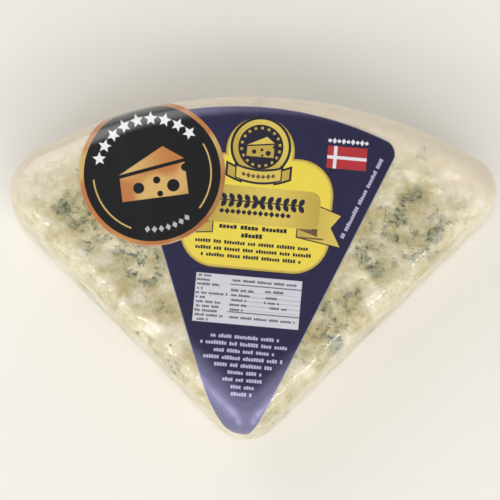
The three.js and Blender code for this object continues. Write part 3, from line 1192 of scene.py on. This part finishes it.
def sprig_row(art: Artwork, row: Row) -> Value:
    """The mask of two sprigs whose leaves point outwards from the row's middle.

    The row counts the pairs of leaves on one sprig, and its height spans both leaves of a pair.
    """
    pitch = row.half / row.count
    out = abs(art.across - row.centre)
    step = out / pitch
    x = (step - step.floor() - 0.5) * pitch
    y = abs(art.along - row.middle)
    above = y - row.height / 4
    cosine, sine = math.cos(LEAF_LEAN), math.sin(LEAF_LEAN)
    reach, width = row.height / 4 / sine * LEAF_OVERLAP, pitch * LEAF_WIDTH
    along = x * cosine + above * sine
    aside = abs(above * cosine - x * sine)
    bulge = (reach * reach + width * width) / (2 * width)
    leaf = (along * along + (aside + (bulge - width)) ** 2.0) ** 0.5 - bulge
    stem = (y - row.height * STEM_WIDTH) | (out - row.half + pitch / 2)
    berry = art.disc((row.centre, row.middle), row.height * BERRY_SIZE)
    return art.inside(leaf | (out - row.half)) | art.inside(stem & berry)


def wedge_motif(art: Artwork) -> Tuple[Value, Value]:
    """A plain wedge of holed cheese about 18 units wide: masks of its top and of its side."""
    top = art.polygon((-9.0, 1.0), (9.0, 3.4), (3.6, 7.4))
    side = art.polygon((-9.0, -6.4), (9.0, -6.4), (9.0, 2.4), (-9.0, 0.0))
    holes = art.disc((-4.2, -3.2), 1.5) & art.disc((0.9, -1.6), 1.0)
    holes = holes & art.disc((5.2, -3.6), 1.7) & art.disc((9.0, 0.9), 1.1) & art.disc((1.4, -5.4), 0.8)
    side = side | (holes * -1.0)
    return art.inside(top), art.inside(side)


@dataclass(frozen=True)
class LabelFinish:
    """The label's print: dark blue, a yellow panel with a ribbon, a white table and small print."""

    navy: Colour = srgb(28, 27, 57)
    yellow: Colour = srgb(250, 226, 74)
    gold: Colour = srgb(204, 175, 66)
    pale_gold: Colour = srgb(232, 206, 90)
    brown: Colour = srgb(112, 84, 42)
    black: Colour = srgb(22, 20, 24)
    white: Colour = srgb(240, 240, 244)
    lilac: Colour = srgb(196, 192, 222)
    red: Colour = srgb(190, 46, 42)
    ink: Colour = srgb(48, 46, 52)
    # Pale lilac of the border along the cut edge, partly paper and partly a painted highlight.
    edge: Colour = srgb(150, 146, 172)
    gloss_tint: Colour = (0.66, 0.62, 1.0, 1.0)
    table: Colour = srgb(222, 221, 226)
    origin: Point = (0.59, 1.45)
    soft: float = 0.12
    border: float = 0.16
    ripple: float = 0.18
    fold_width: float = 4.5
    fold_slope: float = 0.3
    fold_ease: float = 0.7
    fold_round: float = 1.6
    tip_width: float = 2.0
    tip_slope: float = 0.2
    medallion: Point = (-0.6, 87.0)
    bead_ring: float = 5.1
    bead_count: int = 18
    bead_size: float = 0.34
    bow: float = 0.028
    bow_level: float = 79.0

    def material(self, layout: LabelLayout, form: WedgeForm) -> bpy.types.Material:
        """Builds the printed face's material."""
        gloss = {"Roughness": 0.26, "IOR": 2.4, "Specular_Tint": self.gloss_tint}
        surface = Surface("label_print", **gloss, Coat_Weight=0.6, Coat_IOR=1.5, Coat_Roughness=0.22)
        sheet = Artwork(surface, *surface.flat_mm(LABEL_PRINT), self.soft)
        art = sheet.moved(self.origin)
        colour: object = self.navy
        for paint in (self._panel, self._ribbon, self._medallion, self._panel_print, self._table, self._flag):
            colour = paint(art, colour)
        colour = self._small_print(art, colour)
        # The border along the edge is partly a painted highlight.
        surface.drive("Base Color", self._edge_and_painted_highlight(sheet, colour, layout))
        place = surface.place_mm()
        height = surface.noise(place, 9.0, 2.0) * self.ripple - self._droop(sheet, layout, form)
        surface.drive("Normal", surface.bumped(height, MM))
        return surface.material

    def _droop(self, sheet: Artwork, layout: LabelLayout, form: WedgeForm) -> Value:
        """How far the sheet, in millimetres, droops where it folds over the cut sides' shoulders.

        The fold begins a little inside the flat top's edge and then turns more slowly than the
        shoulder, most of all right at the tip, which spreads the light's reflection over it.
        """
        across, along = layout.axes
        x = sheet.across * float(across[0]) + sheet.along * float(along[0]) + layout.apex[0]
        y = sheet.across * float(across[1]) + sheet.along * float(along[1]) + layout.apex[1]
        aside = (x * x + self.fold_round**2) ** 0.5
        cosine, sine = math.cos(form.half_angle), math.sin(form.half_angle)
        past = aside * cosine - y * sine + form.tip_radius
        short = (form.tip_radius * cosine / sine - aside * sine - y * cosine) | 0.0
        reach = past | 0.0
        over = (reach * reach + short * short) ** 0.5 + (past & 0.0) - (form.tip_radius - form.top_inset)
        begun = ((over + self.fold_width) | 0.0) & self.fold_width
        bent = over | 0.0
        eased = begun * begun * (self.fold_slope / 2 / self.fold_width) + bent * self.fold_slope
        ahead = short & self.tip_width
        at_tip = (ahead * ahead * (0.5 / self.tip_width) + (short - ahead)) * self.tip_slope
        return eased - bent * bent * (self.fold_ease / 2 / form.shoulder) - at_tip

    def _panel(self, art: Artwork, colour: object) -> Value:
        """The yellow panel with its gold rim and a swelling behind the medallion."""
        shape = art.round_box(-20.0, 19.7, 54.0, 84.6, 9.6) & art.disc((-0.6, 85.9), 9.1)
        return art.layers(
            colour,
            (shape - 0.25, self.black),
            (shape, self.gold),
            (shape + 0.45, self.pale_gold),
            (shape + 0.75, self.yellow),
        )

    def _ribbon(self, art: Artwork, colour: object) -> Value:
        """The broad gold ribbon across the panel, with a folded tail on each hand."""
        surface = art.surface
        right_tail = art.polygon((11.0, 63.9), (22.5, 62.1), (19.7, 67.0), (16.2, 72.4), (11.0, 72.4))
        right_tail = right_tail & art.polygon((15.0, 66.5), (19.7, 67.0), (22.2, 70.4), (16.2, 72.4))
        left_tail = art.polygon((-22.0, 62.4), (-11.6, 63.4), (-11.6, 67.0), (-22.0, 67.0))
        tails = right_tail & left_tail
        tail_colour = surface.mixed(surface.ramp(art.across, 10.0, 22.0), self.gold, self.pale_gold)
        right_fold = art.polygon((9.6, 66.4), (16.3, 64.3), (16.3, 66.4))
        left_fold = art.polygon((-16.5, 66.4), (-16.5, 64.6), (-11.0, 66.4))
        band = art.round_box(-34.0, 16.5, 66.1, 76.2, 2.6) | (66.1 - art.along)
        sheen = surface.ramp(art.across, -14.0, 3.0) * surface.ramp(art.across * -1.0, -17.0, -4.0)
        return art.layers(
            colour,
            (tails - 0.3, self.black),
            (tails, tail_colour),
            (right_fold & left_fold, self.brown),
            (art.box(11.2, 18.0, 63.6, 64.0), self.brown),
            (band, surface.mixed(sheen, self.gold, self.pale_gold)),
        )

    def _medallion(self, art: Artwork, colour: object) -> Value:
        """A gold ring round a black disc with a small wedge, and a little ribbon below it."""
        surface = art.surface
        distance = art.radius(self.medallion)
        turn = surface.ramp(art.across + art.along, 80.0, 94.0)
        colour = art.layers(
            colour,
            (distance - 8.1, self.black),
            (distance - 7.4, surface.mixed(turn, self.gold, self.pale_gold)),
            (distance - 6.0, self.black),
        )
        top, side = wedge_motif(art.moved((-0.6, 86.9), 0.0, 0.4))
        colour = surface.mixed(side, surface.mixed(top, colour, self.pale_gold), self.gold)
        steps = art.moved(self.medallion).angle() * (self.bead_count / (2 * math.pi))
        pitch = 2 * math.pi * self.bead_ring / self.bead_count
        dots = abs(steps - steps.floor() - 0.5) * pitch - self.bead_size
        colour = art.layers(colour, ((abs(distance - self.bead_ring) - self.bead_size) | dots, self.gold))
        x = art.across - self.medallion[0]
        bowed = Artwork(surface, x, art.along - x**2.0 * self.bow - self.bow_level, art.soft)
        return self._small_ribbon(bowed, colour)

    def _small_ribbon(self, art: Artwork, colour: object) -> Value:
        """The little bowed ribbon, with two short tails and a row of ornaments."""
        band = art.box(-5.9, 5.9, -1.45, 1.45)
        tails = art.box(-8.2, -4.8, -1.9, 0.9) & art.box(4.8, 8.2, -1.9, 0.9)
        colour = art.layers(
            colour,
            ((tails & band) - 0.6, self.black),
            (tails, self.gold),
            (band - 0.35, self.black),
            (band, self.pale_gold),
        )
        return art.surface.mixed(ornament_row(art, Row(-4.6, 4.6, 0.0, 1.5, 7)), colour, self.brown)

    def _panel_print(self, art: Artwork, colour: object) -> Value:
        """Sprigs, ornaments and lines of small marks on the panel."""
        surface = art.surface
        masks = (
            sprig_row(art, Row(-12.2, 12.6, 72.15, 3.6, 6)),
            ornament_row(art, Row(-10.2, 9.0, 69.2, 1.7, 13)),
            Paragraph(63.1, 2.1, 1.3, ((-4.0, 2.8), (-9.5, 8.3)), mark=0.95, word=7.5, high=0.95).mask(art),
            Paragraph(57.4, 1.8, 1.15, ((-13.8, 12.6), (-16.0, 15.3), (-16.0, 15.0))).mask(art),
        )
        for mask in masks:
            colour = surface.mixed(mask, colour, self.black)
        return colour

    def _table(self, art: Artwork, colour: object) -> Value:
        """The white table with its rules and lines of small marks."""
        surface = art.surface
        colour = art.layers(colour, (art.box(-14.6, 13.5, 39.3, 52.2), self.table))
        thick = art.box(-5.5, 13.5, 49.65, 49.95) & art.box(-5.5, 13.5, 42.35, 42.65)
        level = (art.along - 43.8) / 1.2
        thin = abs(level - level.floor() - 0.5) * 1.2 - 0.045
        thin = thin | art.box(-5.3, 13.4, 43.2, 48.0)
        colour = surface.mixed(art.inside(thick & thin) * 0.85, colour, self.ink)
        left = ((-14.2, -10.3), (-14.2, -6.9), (-14.2, -8.0), (-13.8, -8.2), (-14.2, -7.5), (-14.2, -11.7))
        left += ((-14.2, -5.8), (-14.2, -12.7), (-14.2, -8.3), (-14.2, -10.8), (-14.2, -10.4))
        middle = ((-5.2, -1.5), (-5.2, -0.5), (-5.0, -0.6), (-5.0, 0.2), (-5.2, 0.8))
        right = ((4.8, 10.0), (3.9, 8.0), (4.2, 7.4))
        masks = (
            Paragraph(40.05, 1.165, 0.78, left, mark=0.5, gap=0.1),
            Paragraph(43.2, 1.3, 0.8, middle, mark=0.5, gap=0.1),
            Paragraph(44.4, 1.3, 0.75, right, mark=0.5, gap=0.1),
            Paragraph(41.2, 6.0, 0.78, ((-5.2, 12.7),), mark=0.5, gap=0.1),
            Paragraph(51.0, 6.0, 0.8, ((-5.2, 12.2),), mark=0.55, gap=0.1),
            Paragraph(48.7, 6.0, 0.85, ((3.8, 9.0),), mark=0.55, gap=0.1),
        )
        for paragraph in masks:
            colour = surface.mixed(paragraph.mask(art) * 0.9, colour, self.ink)
        return colour

    def _flag(self, art: Artwork, colour: object) -> Value:
        """A red field with a white cross, and a row of white ornaments above it."""
        cross = art.box(18.85, 19.75, 83.0, 89.0) & art.box(17.2, 27.7, 85.55, 86.4)
        colour = art.layers(colour, (art.box(17.2, 27.7, 83.0, 89.0), self.red), (cross, self.white))
        return art.surface.mixed(ornament_row(art, Row(17.0, 28.0, 90.4, 1.6, 9)), colour, self.white)

    def _small_print(self, art: Artwork, colour: object) -> Value:
        """Lines of lilac marks on the narrow half and a slanted one on the right."""
        surface = art.surface
        lines = ((-2.6, 3.0), (-3.4, 3.6), (-5.0, 5.2), (-5.0, 4.7), (-8.5, 8.3))
        lines += ((-10.9, 10.4), (-8.6, 8.0), (-12.0, 11.4), (-9.7, 9.0))
        colour = surface.mixed(Paragraph(21.1, 1.88, 1.15, lines).mask(art), colour, self.lilac)
        slope = art.moved((22.8, 64.6), math.atan2(22.4, 9.0))
        slanted = Paragraph(0.0, 9.0, 1.1, ((0.0, 24.0),), mark=0.72, word=8.0, high=0.95).mask(slope)
        return surface.mixed(slanted, colour, self.lilac)

    def _edge_and_painted_highlight(self, sheet: Artwork, colour: object, layout: LabelLayout) -> Value:
        """A pale lilac border along the sheet's cut edge: partly the paper's pale edge, partly a painted
        highlight.
        """
        side = abs(sheet.across) * math.cos(layout.half_angle) - sheet.along * math.sin(layout.half_angle)
        arc = sheet.radius((0.0, layout.arc_centre)) - layout.arc_radius
        return sheet.surface.mixed(1 - sheet.inside((side | arc) + self.border), colour, self.edge)


@dataclass(frozen=True)
class ArcRow:
    """A row of marks on an arc: their number, the first one's angle and their pitch in degrees."""

    count: int
    first: float
    pitch: float
    radius: float

    @property
    def pitch_mm(self) -> float:
        """The pitch as a length on the arc."""
        return math.radians(self.pitch) * self.radius

    def past_ends(self, number: Value) -> Value:
        """How far the mark of a number, counted from 0, lies past the row's ends."""
        return abs(number - (self.count - 1) / 2) - self.count / 2


@dataclass(frozen=True)
class SealFinish:
    """The seal's print: black with a copper ring, stars, thin arcs and a plain wedge, the copper carrying
    painted sheen and painted shade.
    """

    black: Colour = srgb(12, 11, 12)
    copper: Colour = srgb(198, 126, 70)
    pale_copper: Colour = srgb(222, 184, 112)
    # Dark copper of the painted shade on the foil's lower right.
    shaded_copper: Colour = srgb(156, 92, 52)
    white: Colour = srgb(244, 244, 244)
    grey: Colour = srgb(190, 190, 192)
    soft: float = 0.12
    ring: float = 18.2
    arcs: Tuple[Point, Point] = ((170.0, 233.0), (-53.0, 14.0))
    arc_radius: float = 15.65
    arc_half_width: float = 0.2
    stars: ArcRow = ArcRow(9, 31.5, 14.6, 14.6)
    star_tip: float = 1.85
    star_notch: float = 0.85
    star_tips: int = 5
    lozenges: ArcRow = ArcRow(7, 245.5, 7.1, 15.0)
    lozenge_squash: float = 1.25
    lozenge_reach: float = 0.92

    def material(self, layout: SealLayout) -> bpy.types.Material:
        """Builds the printed face's material."""
        gloss = {"Roughness": 0.26, "IOR": 1.7}
        surface = Surface("seal_print", **gloss, Coat_Weight=1.0, Coat_IOR=1.6, Coat_Roughness=0.18)
        art = Artwork(surface, *surface.flat_mm(SEAL_PRINT), self.soft)
        distance, degrees = art.radius(), art.angle() * (180 / math.pi)
        # The copper of the ring and of the wedge's side carries painted sheen and painted shade.
        copper_and_painted_sheen = self._copper_with_painted_sheen(art)
        colour = art.layers(self.black, (self.ring - distance, copper_and_painted_sheen))
        first, second = (self._arc(art, distance, degrees, *ends) for ends in self.arcs)
        colour = surface.mixed(first | second, colour, self.pale_copper)
        colour = surface.mixed(self._stars(art, distance, degrees), colour, self.white)
        colour = surface.mixed(self._lozenges(art, distance, degrees), colour, self.grey)
        top, side = wedge_motif(art.moved((0.0, -0.4), math.radians(-9), 0.98))
        lid = surface.mixed(surface.ramp(art.across, -6.0, 7.0), self.pale_copper, self.copper)
        colour = surface.mixed(side, surface.mixed(top, colour, lid), copper_and_painted_sheen)
        surface.drive("Base Color", colour)
        ripple = surface.noise(surface.place_mm(), 8.0, 2.0)
        surface.drive("Normal", surface.bumped(ripple, 0.4 * MM, 0.3))
        return surface.material

    def _copper_with_painted_sheen(self, art: Artwork) -> Value:
        """Copper with painted sheen in lighter patches across the seal and painted shade darkening it towards
        the lower right.
        """
        surface = art.surface
        # Painted sheen: pale copper in random lighter patches.
        sheen_patches = surface.noise(surface.joined(art.across, art.along), 11.0, 1.0)
        light = surface.mixed(surface.ramp(sheen_patches, 0.42, 0.62), self.copper, self.pale_copper)
        # Painted shade: darker copper towards the lower right.
        dark = surface.ramp(art.across - art.along, 10.0, 27.0)
        return surface.mixed(dark * 0.7, light, self.shaded_copper)

    def _arc(self, art: Artwork, distance: Value, degrees: Value, start: float, end: float) -> Value:
        """A thin arc between two angles."""
        middle, half = (start + end) / 2, (end - start) / 2
        turned = art.surface.math("WRAP", degrees - middle, 180.0, -180.0)
        along = (abs(turned) - half) * math.radians(self.arc_radius)
        return art.inside((abs(distance - self.arc_radius) - self.arc_half_width) | along)

    def _stars(self, art: Artwork, distance: Value, degrees: Value) -> Value:
        """A row of five-pointed stars along the upper arc."""
        surface = art.surface
        row = self.stars
        step = (degrees - row.first) / row.pitch + 0.5
        number = step.floor()
        x = (step - number - 0.5) * row.pitch_mm * -1.0
        y = distance - row.radius
        reach = (x * x + y * y) ** 0.5
        half_turn = math.pi / self.star_tips
        turn = surface.math("ARCTAN2", x, y)
        folded = abs(surface.math("WRAP", turn, half_turn, -half_turn))
        along, aside = reach * surface.math("COSINE", folded), reach * surface.math("SINE", folded)
        star = Artwork(surface, along, aside, art.soft)
        notch = (self.star_notch * math.cos(half_turn), self.star_notch * math.sin(half_turn))
        return star.inside(star.half_plane((self.star_tip, 0.0), notch) | row.past_ends(number))

    def _lozenges(self, art: Artwork, distance: Value, degrees: Value) -> Value:
        """A row of small lozenges along the lower arc."""
        row = self.lozenges
        step = art.surface.math("WRAP", degrees - row.first, 360.0, 0.0) / row.pitch
        number = step.floor()
        x = abs(step - number - 0.5) * row.pitch_mm
        edge = x * self.lozenge_squash + abs(distance - row.radius) - self.lozenge_reach
        return art.inside(edge | row.past_ends(number))


def dress_sheet(piece: bpy.types.Object, print_face: bpy.types.Material) -> bpy.types.Object:
    """Gives a sheet its print, and white paper at its cut edge and underside."""
    surface = Surface("sheet_paper", Roughness=0.6)
    grain = surface.noise(surface.place_mm(), 0.4, 2.0)
    surface.drive("Base Color", surface.mixed(grain, srgb(222, 220, 222), srgb(238, 237, 238)))
    piece.data.materials.append(print_face)
    piece.data.materials.append(surface.material)
    return piece


@dataclass
class Label:
    """The sector label, stuck on the film and folded down over the tip."""

    form: WedgeForm
    layout: LabelLayout
    finish: LabelFinish
    thickness: float = 0.1
    lift: float = 0.03
    rows: int = 150
    columns: int = 110

    def _lift(self, plan: np.ndarray) -> np.ndarray:
        """Height of the label's underside off the film."""
        return np.full(len(plan), self.lift)

    def build(self) -> bpy.types.Object:
        """Makes the printed sheet."""
        grid = self.layout.rows(self.rows, self.columns)
        lay = (self.thickness, LABEL_PRINT, self.form, self.form.shoulder_arc)
        piece = make_sheet("label_sheet", grid, self.layout.plan, self._lift, *lay)
        return dress_sheet(piece, self.finish.material(self.layout, self.form))


@dataclass
class Seal:
    """The round seal, half on the label and half on the film, folded down over the rim."""

    form: WedgeForm
    layout: SealLayout
    under: Label
    finish: SealFinish
    thickness: float = 0.12
    lift: float = 0.03
    step_start: float = 0.05
    step_end: float = 4.5
    steps: int = 150

    def _lift(self, plan: np.ndarray) -> np.ndarray:
        """Height of the seal's underside: on the film, or up on the label."""
        on_label = 1 - smoothstep(self.under.layout.outside(plan), self.step_start, self.step_end)
        return self.lift + on_label * (self.under.lift + self.under.thickness)

    def build(self) -> bpy.types.Object:
        """Makes the printed disc."""
        grid = self.layout.rows(self.steps)
        lay = (self.thickness, SEAL_PRINT, self.form, self.layout.reach)
        piece = make_sheet("seal_sheet", grid, self.layout.plan, self._lift, *lay)
        return dress_sheet(piece, self.finish.material(self.layout))


# Studio


@dataclass(frozen=True)
class Panel:
    """A soft light, by the direction it comes from."""

    azimuth: float
    elevation: float
    width: float
    height: float
    radiance: float
    distance: float = 1.7


@dataclass(frozen=True)
class Window:
    """A broad soft light in the room round the table.

    Its azimuth is in degrees. It narrows to the sides, and it fades in between two distances
    from the zenith and between two heights over the horizon.
    """

    azimuth: float
    narrowing: float
    start: Tuple[float, float]
    foot: Tuple[float, float]
    tone: Colour

    def share(self, bench: Bench, east: Value, north: Value, up: Value) -> Value:
        """How much of the window is seen in a direction."""
        a = math.radians(self.azimuth)
        ahead = east * math.cos(a) + north * math.sin(a)
        aside = abs(north * math.cos(a) - east * math.sin(a))
        return bench.ramp(ahead - aside * self.narrowing, *self.start) * bench.ramp(up, *self.foot)


@dataclass
class Studio:
    """Camera, lights and floor."""

    form: WedgeForm
    azimuth: float = math.radians(0.59)
    elevation: float = math.radians(84)
    distance: float = 700.0
    focus_px: float = 2643.0
    image_px: float = 500.0
    sensor: float = 36.0
    clip: Tuple[float, float] = (0.05, 50.0)
    aim: Point = (0.62, 53.32)
    floor_size: float = 6.0
    floor_drop: float = 0.00002
    room_tone: Colour = (0.545, 0.545, 0.545, 1.0)
    ceiling_tone: Colour = (0.06, 0.06, 0.06, 1.0)
    ceiling_spot: Point = (0.0, 0.14)
    ceiling_reach: Tuple[float, float] = (0.3, 0.5)
    ceiling_foot: float = 0.1
    windows: Sequence[Window] = (
        Window(-90, 0.35, (0.06, 0.26), (0.02, 0.2), (1.75, 1.75, 1.75, 1.0)),
        Window(122, 1.1, (0.12, 0.5), (0.2, 0.45), (1.7, 1.7, 1.7, 1.0)),
    )
    panels: Sequence[Panel] = (
        Panel(-50, 46, 0.4, 0.22, 4.6),
        Panel(-130, 46, 0.4, 0.22, 4.6),
    )

    def camera(self) -> bpy.types.Object:
        """Places the camera nearly overhead, as in the photograph."""
        a, e = self.azimuth, self.elevation
        back = Vector((math.sin(a) * math.cos(e), -math.cos(a) * math.cos(e), math.sin(e)))
        right = Vector((math.cos(a), math.sin(a), 0.0))
        up = back.cross(right)
        aim = Vector((self.aim[0] - self.form.centre[0], self.aim[1] - self.form.centre[1], self.form.height))
        data = bpy.data.cameras.new("camera")
        data.sensor_width = self.sensor
        data.lens = self.focus_px / self.image_px * self.sensor
        data.clip_start, data.clip_end = self.clip
        camera = bpy.data.objects.new("camera", data)
        turned = Matrix((right, up, back)).transposed().to_4x4()
        camera.matrix_world = Matrix.Translation((aim + back * self.distance) * MM) @ turned
        bpy.context.scene.collection.objects.link(camera)
        bpy.context.scene.camera = camera
        return camera

    def lights(self) -> None:
        """Hangs the soft panels round the table and sets a dim ceiling over a pale horizon."""
        for number, panel in enumerate(self.panels):
            a, e = math.radians(panel.azimuth), math.radians(panel.elevation)
            direction = Vector((math.cos(a) * math.cos(e), math.sin(a) * math.cos(e), math.sin(e)))
            data = bpy.data.lights.new(f"panel_{number}", "AREA")
            data.shape = "RECTANGLE"
            data.size, data.size_y = panel.width, panel.height
            data.energy = panel.radiance * math.pi * panel.width * panel.height
            light = bpy.data.objects.new(f"panel_{number}", data)
            light.location = direction * panel.distance
            light.rotation_mode = "QUATERNION"
            light.rotation_quaternion = direction.to_track_quat("Z", "Y")
            light.visible_camera = False
            bpy.context.scene.collection.objects.link(light)
        world = bpy.data.worlds.new("room")
        world.use_nodes = True
        bench = Bench(world.node_tree)
        bench.tree.nodes.clear()
        east, north, up = bench.parts(bench.value("ShaderNodeTexCoord", output="Generated"))
        side, ahead = east - self.ceiling_spot[0], north - self.ceiling_spot[1]
        off_spot = bench.ramp((side * side + ahead * ahead) ** 0.5, *self.ceiling_reach)
        below = bench.ramp(up * -1.0, 0.0, self.ceiling_foot)
        tone = bench.mixed(off_spot | below, self.ceiling_tone, self.room_tone)
        for window in self.windows:
            tone = bench.mixed(window.share(bench, east, north, up), tone, window.tone)
        glow = bench.node("ShaderNodeBackground", None, {"Color": tone, "Strength": 1.0})
        bench.node("ShaderNodeOutputWorld", None, {"Surface": glow.outputs[0]})
        bpy.context.scene.world = world

    def floor(self) -> bpy.types.Object:
        """Lays the pale table."""
        half, z = self.floor_size / 2, -self.floor_drop
        mesh = bpy.data.meshes.new("floor")
        corners = [(-half, -half, z), (half, -half, z), (half, half, z), (-half, half, z)]
        mesh.from_pydata(corners, [], [(0, 1, 2, 3)])
        floor = bpy.data.objects.new("floor", mesh)
        surface = Surface("pale_table", Roughness=0.8)
        tone = surface.noise(surface.place_mm(), 400.0, 1.0)
        surface.drive("Base Color", surface.mixed(tone, srgb(240, 237, 230), srgb(243, 240, 233)))
        mesh.materials.append(surface.material)
        bpy.context.scene.collection.objects.link(floor)
        return floor


def attach(piece: bpy.types.Object, node: str) -> None:
    """Rides a piece on the part's one body in place of a node, and logs it."""
    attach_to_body(piece, "root")
    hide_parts(node)
    LOG.info("%s: %d faces in place of %s", piece.name, len(piece.data.polygons), node)


def main() -> None:
    """Builds the studio and the four pieces."""
    logging.basicConfig(level=logging.INFO, format="%(name)s: %(message)s")
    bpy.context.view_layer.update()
    scene = bpy.context.scene
    scene.view_settings.view_transform = "Standard"
    form, label_layout, seal_layout = WedgeForm(), LabelLayout(), SealLayout()
    studio = Studio(form)
    studio.camera()
    studio.lights()
    studio.floor()
    dents = Dents(form, label_layout, seal_layout)
    attach(Curd(form, dents, CurdFinish()).build(), "cheese")
    attach(Film(form, dents, FilmFinish()).build(), "cheese")
    label = Label(form, label_layout, LabelFinish())
    attach(label.build(), "label")
    attach(Seal(form, seal_layout, label, SealFinish()).build(), "seal")


if __name__ == "__main__":
    main()
